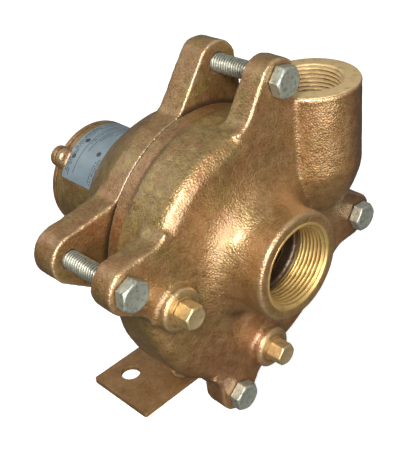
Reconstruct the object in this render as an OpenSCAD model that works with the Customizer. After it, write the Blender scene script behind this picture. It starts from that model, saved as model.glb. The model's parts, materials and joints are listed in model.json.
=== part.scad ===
// Pedestal centrifugal pump in cast bronze.
// The shaft lies along Y, the suction mouth faces -Y, and Z is up.
// The origin lies on the floor, midway between the two foot holes.
// Angles round the shaft start at +X and run counter-clockwise as seen from the suction mouth.

/* [Layout] */
// Height of the bolt circle's lowest point above the floor
foot_room = 12; // [11:1:41]
// Distance from the casing joint back to the foot holes
joint_to_foot = 29.5; // [27:0.5:34]

/* [Casing] */
// Length of the casing from its front wall to the joint
casing_len = 39.5; // [38:0.5:46]
// Thickness of the round rim at the joint, outside the bore that takes the seal plate
rim_wall = 7; // [6.5:0.25:9]
// Length of that rim
rim_len = 10; // [8:0.5:11]
// How far the volute's outer wall stands out of the impeller's rim
volute_room = 17.5; // [17:0.5:21]
// How far the volute's centre lies below the shaft
volute_drop = 4; // [2:0.5:4.5]
// How far the volute's centre lies left of the shaft
volute_shift = 1.2; // [0:0.2:2]
// Thickness of the casing wall
casing_wall = 6; // [5:0.25:7]
// Rounding of the casing's front shoulder
shoulder_round = 8; // [4:0.5:10]
// Rounding of the volute's back edge
back_round = 3; // [1:0.5:4]
// How far the bore that takes the seal plate stands out of the impeller's rim
bore_room = 5; // [3.5:0.5:6]

/* [Suction port] */
// Distance from the front wall to the suction mouth
suction_reach = 26; // [22:1:36]
// Outer radius of the suction boss
suction_boss_r = 28; // [26:0.5:32]
// Thread radius of the suction port
suction_thread_r = 20.9; // [18:0.1:22]
// Depth of the suction thread
suction_thread_len = 18; // [14:1:19]
// Radius of the passage behind the suction thread
suction_bore_r = 17.5; // [15:0.5:18]
// How far the foot of the suction boss flares out
suction_flare = 17; // [8:1:22]
// Length of that flare
suction_flare_len = 16; // [8:1:20]

/* [Discharge port] */
// How far the discharge port's axis lies inside the volute's outer wall
discharge_inset = 14.5; // [11.5:0.5:17.5]
// Distance of its centre ahead of the joint
discharge_ahead = 29.5; // [28:0.5:31]
// Height of the discharge mouth above the shaft
discharge_top = 68; // [62:1:90]
// Outer radius of the discharge boss
discharge_boss_r = 25.5; // [23:0.5:28]
// Thread radius of the discharge port
discharge_thread_r = 16.6; // [14:0.1:18]
// Depth of the discharge thread
discharge_thread_len = 18; // [14:1:20]
// Radius of the passage below the discharge thread
discharge_bore_r = 14.6; // [12:0.2:15]
// Height above the shaft where the round boss begins to draw in
discharge_ledge = 24; // [20:1:28]
// How far the drawn-in foot of the boss reaches down from there
discharge_foot_len = 26; // [22:1:30]
// Radius of the boss at its foot
discharge_foot_r = 14; // [10:0.5:16]

/* [Ears and casing bolts] */
// How far the circle of casing bolts stands out of the volute
bolt_room = 14.5; // [12.5:0.5:18.5]
// Turn of the bolt circle from upright, clockwise from the front
bolt_turn = 15; // [10:1:20]
// How far the centre of an ear's tip lies inside the bolt circle
ear_pull = 2; // [0:0.5:3]
// Radius of the tip of a front ear
front_ear_r = 12.5; // [11.5:0.5:14]
// Thickness of a front ear
front_ear_len = 14; // [10:0.5:16]
// Slope of a front ear's flanks
front_ear_slope = 18; // [8:1:22]
// Fillet between front ear and casing
front_ear_fillet = 12; // [6:1:16]
// Radius of the tip of a rear ear
rear_ear_r = 13; // [12:0.5:14.5]
// Thickness of a rear ear
rear_ear_len = 16; // [12:0.5:18]
// Slope of a rear ear's flanks
rear_ear_slope = 22; // [16:1:26]
// Fillet between rear ear and flange
rear_ear_fillet = 10; // [6:1:14]
// Radius of the casing bolts
bolt_r = 4.76; // [4:0.02:5.5]
// Width across the flats of the bolt heads
bolt_head_af = 14.3; // [13:0.1:17]
// Height of the bolt heads
bolt_head_len = 6; // [5:0.25:7.5]
// How far the bolts come through the rear ears
bolt_end_proud = 1; // [0:0.5:4]

/* [Pipe plugs] */
// Thread radius of the two pipe plugs
plug_r = 5.15; // [4.5:0.05:5.3]
// Radius of the bosses that take the plugs
plug_boss_r = 11.5; // [10:0.5:12]
// Width across the flats of the plug heads
plug_af = 11.1; // [11:0.1:14]
// Length of the plug heads
plug_head_len = 9; // [7:0.5:10]
// How far the left plug lies inside the volute's outer wall
gauge_plug_inset = 13; // [11.5:0.5:15.5]
// How far the left plug lies below the shaft
gauge_plug_drop = 1.5; // [0:0.5:5]
// How far the left boss stands out of the wall
gauge_boss_len = 4.5; // [3:0.5:6]
// How far the bottom plug lies inside the volute's outer wall
drain_plug_inset = 8; // [6.5:0.5:9.5]
// How far the bottom boss stands out of the wall
drain_boss_len = 6; // [3:0.5:7]

/* [Bearing frame] */
// How far the flange at the joint is set back from the casing's rim
flange_inset = 0.5; // [0:0.25:1.5]
// Thickness of that flange
flange_len = 12; // [8:0.5:14]
// Length of the bell behind the flange
bell_len = 40; // [39:0.5:46]
// Thickness of the bell's wall
bell_wall = 7; // [5:0.5:8]
// Outer radius of the bearing housing
housing_r = 32; // [30:0.5:36]
// Length of the bearing housing behind the bell
housing_len = 33.5; // [32:0.5:60]
// Radius of the lugs that take the cover screws
lug_r = 6; // [5.5:0.5:7]
// Radius of the circle of cover screws
lug_circle_r = 31; // [30.5:0.5:33]
// Length of the lugs
lug_len = 5; // [4:0.5:10]
// Angle of the first lug round the shaft
lug_angle = 136; // [120:1:150]

/* [Bearings] */
// Radius of the bores of the bearings
bearing_bore_r = 10; // [9.5:0.25:10.5]
// Outer radius of the bearings
bearing_r = 23.5; // [22.5:0.25:24.5]
// Width of the bearings
bearing_len = 14; // [12:0.5:16]
// Radius of the balls
ball_r = 3.97; // [3.2:0.01:4.2]
// Number of balls in a bearing
ball_count = 8; // [6:1:9]

/* [Shaft] */
// Radius of the shaft at the seal and the coupling
shaft_r = 7.94; // [7.4:0.01:8.5]
// Radius of the seat of the impeller
impeller_seat_r = 7; // [6.5:0.1:7.2]
// Radius of the shaft between the bearings
shaft_body_r = 12.5; // [11.5:0.5:13]
// How far the shaft stands out of the bearing cover
shaft_stub = 26; // [24:1:60]
// Side of the square shaft keys
key_w = 4.76; // [3:0.01:5]
// Length of the coupling key
coupling_key_len = 16; // [10:1:18]
// Length of the impeller key
impeller_key_len = 10; // [6:0.5:12]

/* [Impeller] */
// Outer radius of the impeller
impeller_r = 52; // [44:0.5:54]
// Number of vanes
vane_count = 6; // [4:1:8]
// Thickness of a vane
vane_t = 2.6; // [1.6:0.1:3.6]
// Turn of a vane from eye to rim
vane_wrap = 105; // [70:5:140]
// Width of the impeller's outlet
outlet_len = 7; // [5:0.5:8]
// Thickness of the two shrouds
shroud_t = 3; // [2:0.25:3.5]
// Outer radius of the eye ring
eye_r = 21; // [20:0.25:22]
// Radius of the hub
hub_r = 12; // [11:0.5:12.5]

/* [Foot] */
// Half the width of the foot plate
foot_half = 58.5; // [52:0.5:80]
// Depth of the foot plate along the shaft
foot_depth = 44.5; // [38:0.5:60]
// Distance from the foot holes to the plate's back edge
foot_hole_back = 13; // [10:0.5:18]
// Thickness of the foot plate
foot_t = 3; // [2.75:0.25:4]
// Distance between the foot holes
foot_hole_spacing = 84; // [70:1:100]
// Radius of the foot holes
foot_hole_r = 5.6; // [4:0.1:7]
// Half the width of the pedestal's pad
pad_half = 12; // [9:0.5:14]
// Thickness of the pad
pad_t = 8; // [6:0.5:12]
// Thickness of the pedestal's ribs
rib_t = 9; // [8:0.5:12]

/* [Hidden] */

$fn = 96;

// Overrun of every cut
over = 1;
// Radial clearance of a fixed fit, such as a bolt in its thread
fit = 0.05;
// Radial clearance between turning and standing parts
run = 0.3;
// Radial clearance of a bolt in a front ear
bolt_play = 0.45;
// Chamfer of the machined edges of the castings
edge = 1;
// Chamfer of small turned parts
small_edge = 0.5;
// How far an ear's flanks and fillets lie inside the tangents of tip and body
flank_inset = 0.1;
// How far the ears lie behind the front wall and behind the joint
ear_relief = 0.25;
// How far the vanes end short of the impeller's rim
vane_relief = 0.25;
// Share of the body's radius at which the root of an ear ends
ear_root_share = 0.6;
// Steps of a fillet between ear and body
fillet_steps = 6;
// Steps of a curved wall
curve_steps = 9;
// Angle of a quarter turn
quarter_turn = 90;

// Radii that follow from the impeller's, and the height of the shaft
volute_r = impeller_r + volute_room;
casing_bore_r = impeller_r + bore_room;
rim_r = casing_bore_r + rim_wall;
flange_r = rim_r - flange_inset;
bolt_circle_r = volute_r + bolt_room;
shaft_height = bolt_circle_r + foot_room;
discharge_x = volute_r - discharge_inset;
gauge_plug_out = volute_r - gauge_plug_inset;
drain_plug_drop = volute_r - drain_plug_inset;

// Stations of the casing along the shaft
joint_y = -joint_to_foot;
front_y = joint_y - casing_len;
mouth_y = front_y - suction_reach;
volute_back_y = joint_y - rim_len;
volute_web = 4;
cavity_front_y = front_y + casing_wall;
cavity_back_y = volute_back_y - volute_web;
cavity_r = volute_r - casing_wall;
volute_centre = [-volute_shift, -volute_drop];
discharge_y = joint_y - discharge_ahead;
discharge_fullness = 1.3;
throat_r = 10;
throat_inset = 5;
throat_x = discharge_x - throat_inset;
throat_top = discharge_ledge + 2 * casing_wall;
boss_root = 3;
plug_end_gap = 0.5;

// Angles of the casing bolts, and turns of the bolt and plug heads
bolt_angles = [for (k = [0:3]) 90 - bolt_turn + 90 * k];
head_turns = [12, 38, 22, 4];
gauge_plug_turn = 18;
drain_plug_turn = 8;

// Seal plate, gasket and wear ring
gasket_t = 0.8;
plate_seat_depth = 4;
plate_seat_w = 3;
plate_len = 12;
plate_t = 6;
plate_skirt = 6;
plate_front_y = joint_y - plate_len;
cup_r = 18;
cup_wall = 4.5;
cup_reach = 16.5;
cup_floor_t = 6.5;
cup_lip_t = 2;
cup_lip_r = 10;
seat_bore_r = 15;
ring_r = 25;
ring_len = 7;

// Impeller, with its stations along the shaft
plate_gap = 2.5;
hub_ring = 1.5;
hub_len = 14;
hub_flare = 2;
back_shroud_y = plate_front_y - plate_gap;
hub_back_y = back_shroud_y + hub_ring;
hub_front_y = hub_back_y - hub_len;
outlet_back_y = back_shroud_y - shroud_t;
outlet_front_y = outlet_back_y - outlet_len;
eye_inset = 1.5;
eye_front_y = front_y + eye_inset;
eye_bore_r = eye_r - shroud_t;
eye_back_y = (eye_front_y + outlet_front_y) / 2;
vane_root = 1;
vane_steps = 12;
balance_hole_r = 2.2;
balance_circle_r = 20;
balance_count = 4;

// Shaft end, nut, washer and keys
thread_r = 4.7;
washer_t = 1.6;
washer_r = 9;
nut_af = 14;
nut_len = 8;
thread_proud = 2;
key_end_gap = 2;
key_turn = 90;
seat_chamfer = 1;

// Mechanical seal
seal_bore_r = 8.9;
seal_face_r = 12.2;
seat_proud = 1;
carbon_len = 4.5;
carbon_r = 11.8;
retainer_r = 14.4;
retainer_t = 1;
retainer_len = 12;
retainer_back = 1;
bellows_r = 12.6;
bellows_t = 2;
bellows_neck_r = 10;
spring_wire_r = 0.9;
spring_r = 12.6;
spring_turns = 3;
spring_rings = 12;
spring_sides = 6;
seat_back_y = joint_y + cup_reach - cup_lip_t;
seat_front_y = joint_y + cup_reach - cup_floor_t - seat_proud;
carbon_front_y = seat_front_y - carbon_len;
retainer_front_y = seat_front_y - retainer_back - retainer_len;
spring_front_y = hub_back_y + spring_wire_r + fit;
spring_back_y = retainer_front_y - spring_wire_r - fit;

// Bearing frame, its cover and the stations of the bearings
bell_fullness = 1.3;
bell_core_share = 0.86;
bell_mouth_r = casing_bore_r - plate_skirt;
seal_boss_wall = 5.5;
bearing_hub_wall = 4.5;
bearing_step = 6;
lip_seal_r = 16;
lip_seal_len = 5;
lip_seal_t = 1;
lip_seal_groove = 2;
weep_r = 4;
weep_angle = 300;
weep_back = 24;
cover_t = 3.5;
cover_spigot = 2.5;
cover_spigot_t = 2.5;
cover_hub_r = 19;
cover_hub_len = 2;
wave_t = 1.6;
screw_r = 2.4;
screw_tip_wall = 1;
screw_end_gap = 0.5;
screw_head_r = 4.2;
screw_head_len = 3.4;
screw_count = 3;
housing_front_y = joint_y + flange_len + bell_len;
housing_back_y = housing_front_y + housing_len;
cover_back_y = housing_back_y + cover_t;
cover_end_y = cover_back_y + cover_hub_len;
front_bearing_y = housing_front_y - bearing_len;
lip_seal_face_y = front_bearing_y - bearing_step;
rear_bearing_y = housing_back_y - cover_spigot - wave_t - bearing_len;
shaft_back_y = cover_back_y + shaft_stub;
shaft_front_y = hub_front_y - washer_t - nut_len - thread_proud;

// Inside of the bearings, and the slinger
ball_circle_r = (bearing_bore_r + bearing_r) / 2;
race_gap = 2.6;
groove_play = 0.2;
cage_half = 1.5;
cage_len = 10.6;
slinger_r = 17;
slinger_len = 4;
slinger_lip = 1;
slinger_y = joint_y + cup_reach + slinger_len;

// Pedestal and its screws
pad_front = 14.5;
pad_back = 12;
rib_top = 40;
rib_taper = 3;
cross_rib_y = 2;
foot_corner_r = 1.5;
foot_screw_r = 3.2;
foot_screw_head_r = 5.6;
foot_screw_len = 12;
foot_screw_pitch = 15;

// Label bent round the bearing housing
label_t = 0.35;
label_from = 62;
label_to = 154;
label_front = 1;
label_gap = 0.2;

bronze = [0.62, 0.43, 0.22];
brass = [0.80, 0.66, 0.32];
zinc = [0.74, 0.76, 0.75];
steel = [0.62, 0.63, 0.65];

// Lifts what lies round the shaft to its height
module on_shaft() {
  translate([0, 0, shaft_height]) children();
}

// Turns a profile of (radius, place along the shaft) round the shaft
module turned() {
  rotate([-90, 0, 0]) rotate_extrude() children();
}

// Plate cut to an outline of (right, up), from y0 back to y1
module plate(y0, y1) {
  translate([0, y1, 0]) rotate([90, 0, 0]) linear_extrude(y1 - y0) children();
}

// Round bar from y0 back to y1
module bar(r, y0, y1) {
  translate([0, y1, 0]) rotate([90, 0, 0]) cylinder(r = r, h = y1 - y0);
}

// Ring from y0 back to y1
module ring(r_in, r_out, y0, y1) {
  turned() translate([r_in, y0]) square([r_out - r_in, y1 - y0]);
}

// Round bar whose front edge is chamfered
module front_chamfered_bar(r, y0, y1, c) {
  turned() polygon([[0, y0], [r - c, y0], [r, y0 + c], [r, y1], [0, y1]]);
}

// Round bar whose back edge is chamfered
module back_chamfered_bar(r, y0, y1, c) {
  turned() polygon([[0, y0], [r, y0], [r, y1 - c], [r - c, y1], [0, y1]]);
}

// Six-sided head whose corners are turned off at 30 degrees at the end y0
module hex_head(af, y0, y1) {
  corner_r = af / 2 / cos(30);
  flat_r = af / 2 * cos(15);
  intersection() {
    translate([0, y1, 0]) rotate([90, 0, 0]) cylinder(r = corner_r, h = y1 - y0, $fn = 6);
    turned() polygon([
      [0, y0], [flat_r, y0], [corner_r + over, y0 + (corner_r + over - flat_r) * tan(30)],
      [corner_r + over, y1], [0, y1]
    ]);
  }
}

// Puts its children at a radius and an angle round the shaft
module round_shaft(r, angle) {
  translate([r * cos(angle), 0, r * sin(angle)]) children();
}

function dot2(a, b) = a[0] * b[0] + a[1] * b[1];
function turn2(p, a) = [p[0] * cos(a) - p[1] * sin(a), p[0] * sin(a) + p[1] * cos(a)];
function short_turn(a) = a > 180 ? a - 360 : a < -180 ? a + 360 : a;
function reversed(list) = [for (k = [len(list) - 1:-1:0]) list[k]];

// Height of a rounded curve that falls from 1 to 0 as share goes from 0 to 1
function rounded_fall(share, fullness) = pow(1 - pow(share, fullness), 1 / fullness);

// Shares along such a curve, closer together where it is steep
function fall_shares(fullness) =
  [for (k = [0:curve_steps]) 1 - pow(1 - k / curve_steps, fullness)];

// One flank of an ear: its end beside the tip, then the fillet down to the body
function flank(tip_at, tip_r, slope, fillet, body_r, body_at, side) =
  let (
    n = [sin(slope), side * cos(slope)],
    along = [cos(slope), -side * sin(slope)],
    reach = tip_at * sin(slope) + tip_r + fillet - dot2(n, body_at),
    c = body_at + reach * n + sqrt((body_r + fillet) ^ 2 - reach ^ 2) * along,
    a0 = atan2(-n[1], -n[0]),
    a1 = a0 + short_turn(atan2(body_at[1] - c[1], body_at[0] - c[0]) - a0)
  )
  concat(
    [[tip_at + tip_r * n[0], tip_r * n[1]]],
    [for (k = [0:fillet_steps])
      let (a = a0 + (a1 - a0) * k / fillet_steps) c + fillet * [cos(a), sin(a)]]
  );

// Outline of an ear along +X, from a point inside the body out to the ends of its flanks
function ear_outline(tip_at, tip_r, slope, fillet, body_r, body_at) =
  concat(
    flank(tip_at, tip_r, slope, fillet, body_r, body_at, 1),
    [body_at + [ear_root_share * body_r, 0]],
    reversed(flank(tip_at, tip_r, slope, fillet, body_r, body_at, -1))
  );

// The four ears of a casting whose round body has the given radius and centre
module ears(tip_r, slope, fillet, body_r, body_at, y0, y1) {
  tip_at = bolt_circle_r - ear_pull;
  for (a = bolt_angles) {
    rotate([0, -a, 0]) plate(y0, y1) {
      polygon(
        ear_outline(tip_at, tip_r - flank_inset, slope, fillet, body_r - flank_inset, turn2(body_at, -a)));
      translate([tip_at, 0]) circle(r = tip_r);
    }
  }
}

// Outer form of the volute: a drum round an axis that lies off the shaft
module volute_drum() {
  translate([volute_centre[0], 0, volute_centre[1]]) turned() {
    translate([0, front_y]) square([volute_r - shoulder_round, volute_back_y - front_y]);
    translate([0, front_y + shoulder_round])
      square([volute_r, volute_back_y - back_round - front_y - shoulder_round]);
    translate([0, front_y + shoulder_round])
      square([volute_r - back_round, volute_back_y - front_y - shoulder_round]);
    translate([volute_r - shoulder_round, front_y + shoulder_round]) circle(r = shoulder_round);
    translate([volute_r - back_round, volute_back_y - back_round]) circle(r = back_round);
  }
}

// Suction boss, flared where it grows out of the front wall
module suction_boss() {
  root_y = front_y + casing_wall / 2;
  turned() polygon(concat(
    [[0, root_y], [suction_boss_r + suction_flare, root_y]],
    [for (k = [0:curve_steps]) let (t = quarter_turn * k / curve_steps)
      [suction_boss_r + suction_flare * (1 - sin(t)), front_y - suction_flare_len * (1 - cos(t))]],
    [[suction_boss_r, mouth_y + edge], [suction_boss_r - edge, mouth_y], [0, mouth_y]]
  ));
}

// Discharge boss: a round socket that draws in below its ledge and melts into the front wall
module discharge_boss() {
  foot_z = discharge_ledge - discharge_foot_len;
  translate([discharge_x, discharge_y, 0]) rotate_extrude() polygon(concat(
    [[0, foot_z]],
    [for (share = reversed(fall_shares(discharge_fullness)))
      [discharge_foot_r + (discharge_boss_r - discharge_foot_r) * rounded_fall(share, discharge_fullness),
       discharge_ledge - discharge_foot_len * share]],
    [[discharge_boss_r, discharge_top - edge], [discharge_boss_r - edge, discharge_top],
     [0, discharge_top]]
  ));
}

// Boss on the front wall for a pipe plug
module plug_boss(reach) {
  front_chamfered_bar(plug_boss_r, front_y - reach, front_y + boss_root, edge);
}

module at_gauge_plug() {
  translate([-gauge_plug_out, 0, -gauge_plug_drop]) children();
}

module at_drain_plug() {
  translate([0, 0, -drain_plug_drop]) children();
}

module casing_form() {
  volute_drum();
  bar(rim_r, cavity_back_y, joint_y);
  suction_boss();
  discharge_boss();
  ears(front_ear_r, front_ear_slope, front_ear_fillet, volute_r, volute_centre,
       front_y + ear_relief, front_y + front_ear_len);
  at_gauge_plug() plug_boss(gauge_boss_len);
  at_drain_plug() plug_boss(drain_boss_len);
}

// Threaded port and passage of the suction side, with the seat of the wear ring
module suction_hollow() {
  bar(suction_thread_r, mouth_y - over, mouth_y + suction_thread_len);
  turned() polygon([
    [0, mouth_y - over], [suction_thread_r + edge + over, mouth_y - over],
    [suction_thread_r, mouth_y + edge], [0, mouth_y + edge]
  ]);
  bar(suction_bore_r, mouth_y, cavity_front_y);
  bar(ring_r, front_y, cavity_front_y + over);
}

// Threaded port of the discharge side and the throat that leads to it
module discharge_hollow() {
  bore_z = discharge_ledge + casing_wall;
  translate([discharge_x, discharge_y, 0]) {
    translate([0, 0, discharge_top - discharge_thread_len])
      cylinder(r = discharge_thread_r, h = discharge_thread_len + over);
    rotate_extrude() polygon([
      [0, discharge_top - edge], [discharge_thread_r, discharge_top - edge],
      [discharge_thread_r + edge + over, discharge_top + over], [0, discharge_top + over]
    ]);
    translate([0, 0, bore_z]) cylinder(r = discharge_bore_r, h = discharge_top - bore_z);
  }
  translate([throat_x, (cavity_front_y + cavity_back_y) / 2, 0]) cylinder(r = throat_r, h = throat_top);
}

module casing_hollow() {
  translate([volute_centre[0], 0, volute_centre[1]]) bar(cavity_r, cavity_front_y, cavity_back_y);
  bar(casing_bore_r, cavity_back_y - over, joint_y + over);
  bar(casing_bore_r + plate_seat_w, joint_y - plate_seat_depth, joint_y + over);
  suction_hollow();
  discharge_hollow();
  for (a = bolt_angles) {
    round_shaft(bolt_circle_r, a) bar(bolt_r + bolt_play, front_y - over, front_y + front_ear_len + over);
  }
  at_gauge_plug() bar(plug_r + fit, front_y - gauge_boss_len - over, cavity_front_y + over);
  at_drain_plug() bar(plug_r + fit, front_y - drain_boss_len - over, cavity_front_y + over);
}

module volute_casing() {
  color(bronze) on_shaft() difference() {
    casing_form();
    casing_hollow();
  }
}

// Puts its children on each of the screws of the bearing cover
module at_screws() {
  for (k = [0:screw_count - 1]) {
    round_shaft(lug_circle_r, lug_angle + 360 * k / screw_count) children();
  }
}

// Outer radius of the bell, and the place along the shaft, at a share of its length
function bell_r(share) = housing_r + (flange_r - housing_r) * rounded_fall(share, bell_fullness);
function bell_y(share) = joint_y + flange_len + bell_len * share;

// Flange, bell and bearing housing of the frame
module frame_form() {
  turned() polygon(concat(
    [[0, joint_y], [flange_r, joint_y]],
    [for (share = fall_shares(bell_fullness)) [bell_r(share), bell_y(share)]],
    [[housing_r, housing_back_y], [0, housing_back_y]]
  ));
  ears(rear_ear_r, rear_ear_slope, rear_ear_fillet, flange_r, [0, 0],
       joint_y + ear_relief, joint_y + rear_ear_len);
  at_screws() front_chamfered_bar(lug_r, housing_back_y - lug_len, housing_back_y, edge);
}

// Hollow of the bell, with the bosses of the bearing and its front seal left standing in it
module bell_hollow() {
  seal_boss_r = lip_seal_r + seal_boss_wall;
  bearing_hub_r = bearing_r + bearing_hub_wall;
  core_shares = concat([for (s = fall_shares(bell_fullness)) if (s < bell_core_share) s], [bell_core_share]);
  turned() polygon(concat(
    [[0, joint_y - over], [bell_mouth_r, joint_y - over]],
    [for (share = core_shares) [min(bell_mouth_r, bell_r(share) - bell_wall), bell_y(share)]],
    [[bearing_hub_r, bell_y(bell_core_share)], [bearing_hub_r, front_bearing_y],
     [seal_boss_r, lip_seal_face_y], [0, lip_seal_face_y]]
  ));
}

module frame_hollow() {
  bell_hollow();
  bar(lip_seal_r, joint_y, front_bearing_y);
  bar(bearing_r + fit, front_bearing_y, housing_back_y + over);
  for (a = bolt_angles) {
    round_shaft(bolt_circle_r, a) bar(bolt_r + fit, joint_y - over, joint_y + rear_ear_len + over);
  }
  at_screws() bar(screw_r + fit, housing_back_y - lug_len + screw_tip_wall, housing_back_y + over);
  // Weep hole low on the bell's right side
  translate([0, joint_y + weep_back, 0]) rotate([0, 90 - weep_angle, 0])
    translate([0, 0, cup_r + cup_wall]) cylinder(r = weep_r, h = flange_r);
}

// Pedestal under the frame: a lengthwise rib, a tapered cross rib and a pad
module pedestal_form() {
  top = shaft_height - rib_top;
  translate([-rib_t / 2, -pad_front, foot_t]) cube([rib_t, pad_front + pad_back, top - foot_t]);
  plate(cross_rib_y - rib_t / 2, cross_rib_y + rib_t / 2) polygon([
    [-pad_half, foot_t], [pad_half, foot_t], [pad_half - rib_taper, top], [rib_taper - pad_half, top]
  ]);
  translate([-pad_half, -pad_front, foot_t]) cube([2 * pad_half, pad_front + pad_back, pad_t]);
}

module bearing_frame() {
  color(bronze) difference() {
    union() {
      on_shaft() frame_form();
      pedestal_form();
    }
    on_shaft() frame_hollow();
    at_foot_screws() cylinder(r = foot_screw_r + fit, h = foot_t + foot_screw_len);
  }
}

// Back plate of the casing, with the cup that holds the mechanical seal
module seal_plate() {
  rim_y = joint_y - plate_seat_depth + gasket_t;
  color(bronze) on_shaft() turned() polygon([
    [cup_r, plate_front_y], [casing_bore_r - fit, plate_front_y], [casing_bore_r - fit, rim_y],
    [casing_bore_r + plate_seat_w - fit, rim_y], [casing_bore_r + plate_seat_w - fit, joint_y],
    [bell_mouth_r, joint_y], [bell_mouth_r, plate_front_y + plate_t],
    [cup_r + cup_wall, plate_front_y + plate_t], [cup_r + cup_wall, joint_y + cup_reach],
    [cup_lip_r, joint_y + cup_reach], [cup_lip_r, seat_back_y], [seat_bore_r, seat_back_y],
    [seat_bore_r, joint_y + cup_reach - cup_floor_t], [cup_r, joint_y + cup_reach - cup_floor_t]
  ]);
}

module casing_gasket() {
  color("darkslategray") on_shaft()
    ring(casing_bore_r + fit, casing_bore_r + plate_seat_w - fit,
         joint_y - plate_seat_depth, joint_y - plate_seat_depth + gasket_t);
}

module wear_ring() {
  color(brass) on_shaft() ring(eye_r + run, ring_r - fit, front_y + fit, front_y + ring_len);
}

// Hex cap screw along the shaft, with its head's top at y0 and its end at y1
module cap_screw(r, af, head_len, y0, y1) {
  hex_head(af, y0, y0 + head_len - small_edge);
  bar(af / 2 - small_edge, y0 + head_len - small_edge, y0 + head_len);
  back_chamfered_bar(r, y0 + head_len / 2, y1, small_edge);
}

module casing_bolts() {
  color(zinc) on_shaft() for (k = [0:3]) {
    round_shaft(bolt_circle_r, bolt_angles[k]) rotate([0, head_turns[k], 0])
      cap_screw(bolt_r, bolt_head_af, bolt_head_len, front_y + ear_relief - bolt_head_len,
                joint_y + rear_ear_len + bolt_end_proud);
  }
}

// Pipe plug with a six-sided head, seated on a boss whose face lies at y0
module pipe_plug(y0) {
  hex_head(plug_af, y0 - plug_head_len, y0);
  back_chamfered_bar(plug_r, y0 - plug_head_len / 2, cavity_front_y - plug_end_gap, small_edge);
}

module gauge_plug() {
  color(brass) on_shaft() at_gauge_plug() rotate([0, gauge_plug_turn, 0])
    pipe_plug(front_y - gauge_boss_len);
}

module drain_plug() {
  color(brass) on_shaft() at_drain_plug() rotate([0, drain_plug_turn, 0])
    pipe_plug(front_y - drain_boss_len);
}

// Vanes follow an equal-angle spiral, whose outer end trails as the impeller turns.
// They run one step past the rim, where the space between the shrouds trims them.
vane_start_r = eye_bore_r - vane_t;
vane_growth = ln(impeller_r / vane_start_r);
vane_slope = atan(vane_growth / (vane_wrap * PI / 180));
function vane_point(share, side) =
  let (
    r = vane_start_r * exp(vane_growth * share),
    a = -vane_wrap * share + side * vane_t / 2 / r / sin(vane_slope) * 180 / PI
  )
  r * [cos(a), sin(a)];

module vanes() {
  shares = [for (j = [0:vane_steps + 1]) j / vane_steps];
  for (k = [0:vane_count - 1]) {
    rotate([0, -360 * k / vane_count, 0]) plate(eye_front_y, back_shroud_y) polygon(concat(
      [for (share = shares) vane_point(share, 1)],
      [for (share = reversed(shares)) vane_point(share, -1)]
    ));
  }
}

// Space between the shrouds, grown a little into both
module vane_space() {
  turned() polygon([
    [hub_r - vane_root, outlet_back_y + vane_root], [hub_r - vane_root, hub_front_y],
    [eye_bore_r + vane_root, eye_back_y + vane_root], [eye_r + shroud_t, outlet_front_y - shroud_t / 2],
    [impeller_r - vane_relief, outlet_front_y - vane_root],
    [impeller_r - vane_relief, outlet_back_y + vane_root]
  ]);
}

module back_shroud() {
  turned() polygon([
    [0, hub_front_y], [hub_r, hub_front_y], [hub_r + hub_flare, outlet_back_y],
    [impeller_r, outlet_back_y], [impeller_r, back_shroud_y], [hub_r + hub_flare, back_shroud_y],
    [hub_r + hub_flare, hub_back_y], [0, hub_back_y]
  ]);
}

// Front shroud, with the ring that runs in the wear ring
module front_shroud() {
  turned() polygon([
    [eye_bore_r, eye_front_y], [eye_r, eye_front_y], [eye_r, eye_back_y],
    [impeller_r, outlet_front_y - shroud_t], [impeller_r, outlet_front_y],
    [eye_r + shroud_t, outlet_front_y - vane_root], [eye_bore_r, eye_back_y + shroud_t]
  ]);
}

module impeller() {
  color(brass) on_shaft() difference() {
    union() {
      back_shroud();
      front_shroud();
      intersection() {
        vanes();
        vane_space();
      }
    }
    bar(impeller_seat_r + fit, hub_front_y - over, hub_back_y + over);
    impeller_key_way(fit);
    for (k = [0:balance_count - 1]) {
      round_shaft(balance_circle_r, 360 * (k + 1 / 2) / balance_count)
        bar(balance_hole_r, outlet_back_y - over, back_shroud_y + over);
    }
  }
}

// Space of a square key of the given length from y0 back, grown by a gap
module key_way(seat_r, length, y0, gap) {
  rotate([0, key_turn, 0]) translate([-key_w / 2 - gap, y0 - gap, seat_r - key_w / 2 - gap])
    cube([key_w + 2 * gap, length + 2 * gap, key_w + 2 * gap]);
}

module impeller_key_way(gap) {
  key_way(impeller_seat_r, impeller_key_len, (hub_front_y + hub_back_y - impeller_key_len) / 2, gap);
}

module coupling_key_way(gap) {
  key_way(shaft_r, coupling_key_len, shaft_back_y - coupling_key_len - key_end_gap, gap);
}

module impeller_key() {
  color(steel) on_shaft() impeller_key_way(0);
}

module coupling_key() {
  color(steel) on_shaft() coupling_key_way(0);
}

module pump_shaft() {
  bearing_seat_y = lip_seal_face_y - seat_chamfer;
  color(steel) on_shaft() difference() {
    turned() polygon([
      [0, shaft_front_y], [thread_r - small_edge, shaft_front_y], [thread_r, shaft_front_y + small_edge],
      [thread_r, hub_front_y], [impeller_seat_r, hub_front_y], [impeller_seat_r, hub_back_y],
      [shaft_r, hub_back_y], [shaft_r, bearing_seat_y - seat_chamfer],
      [bearing_bore_r - fit, bearing_seat_y], [bearing_bore_r - fit, front_bearing_y + bearing_len],
      [shaft_body_r, front_bearing_y + bearing_len], [shaft_body_r, rear_bearing_y],
      [bearing_bore_r - fit, rear_bearing_y], [bearing_bore_r - fit, cover_end_y + seat_chamfer],
      [shaft_r, cover_end_y + 2 * seat_chamfer], [shaft_r, shaft_back_y - edge],
      [shaft_r - edge, shaft_back_y], [0, shaft_back_y]
    ]);
    impeller_key_way(fit);
    coupling_key_way(fit);
  }
}

module impeller_washer() {
  color(steel) on_shaft() ring(thread_r + fit, washer_r, hub_front_y - washer_t, hub_front_y);
}

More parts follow.
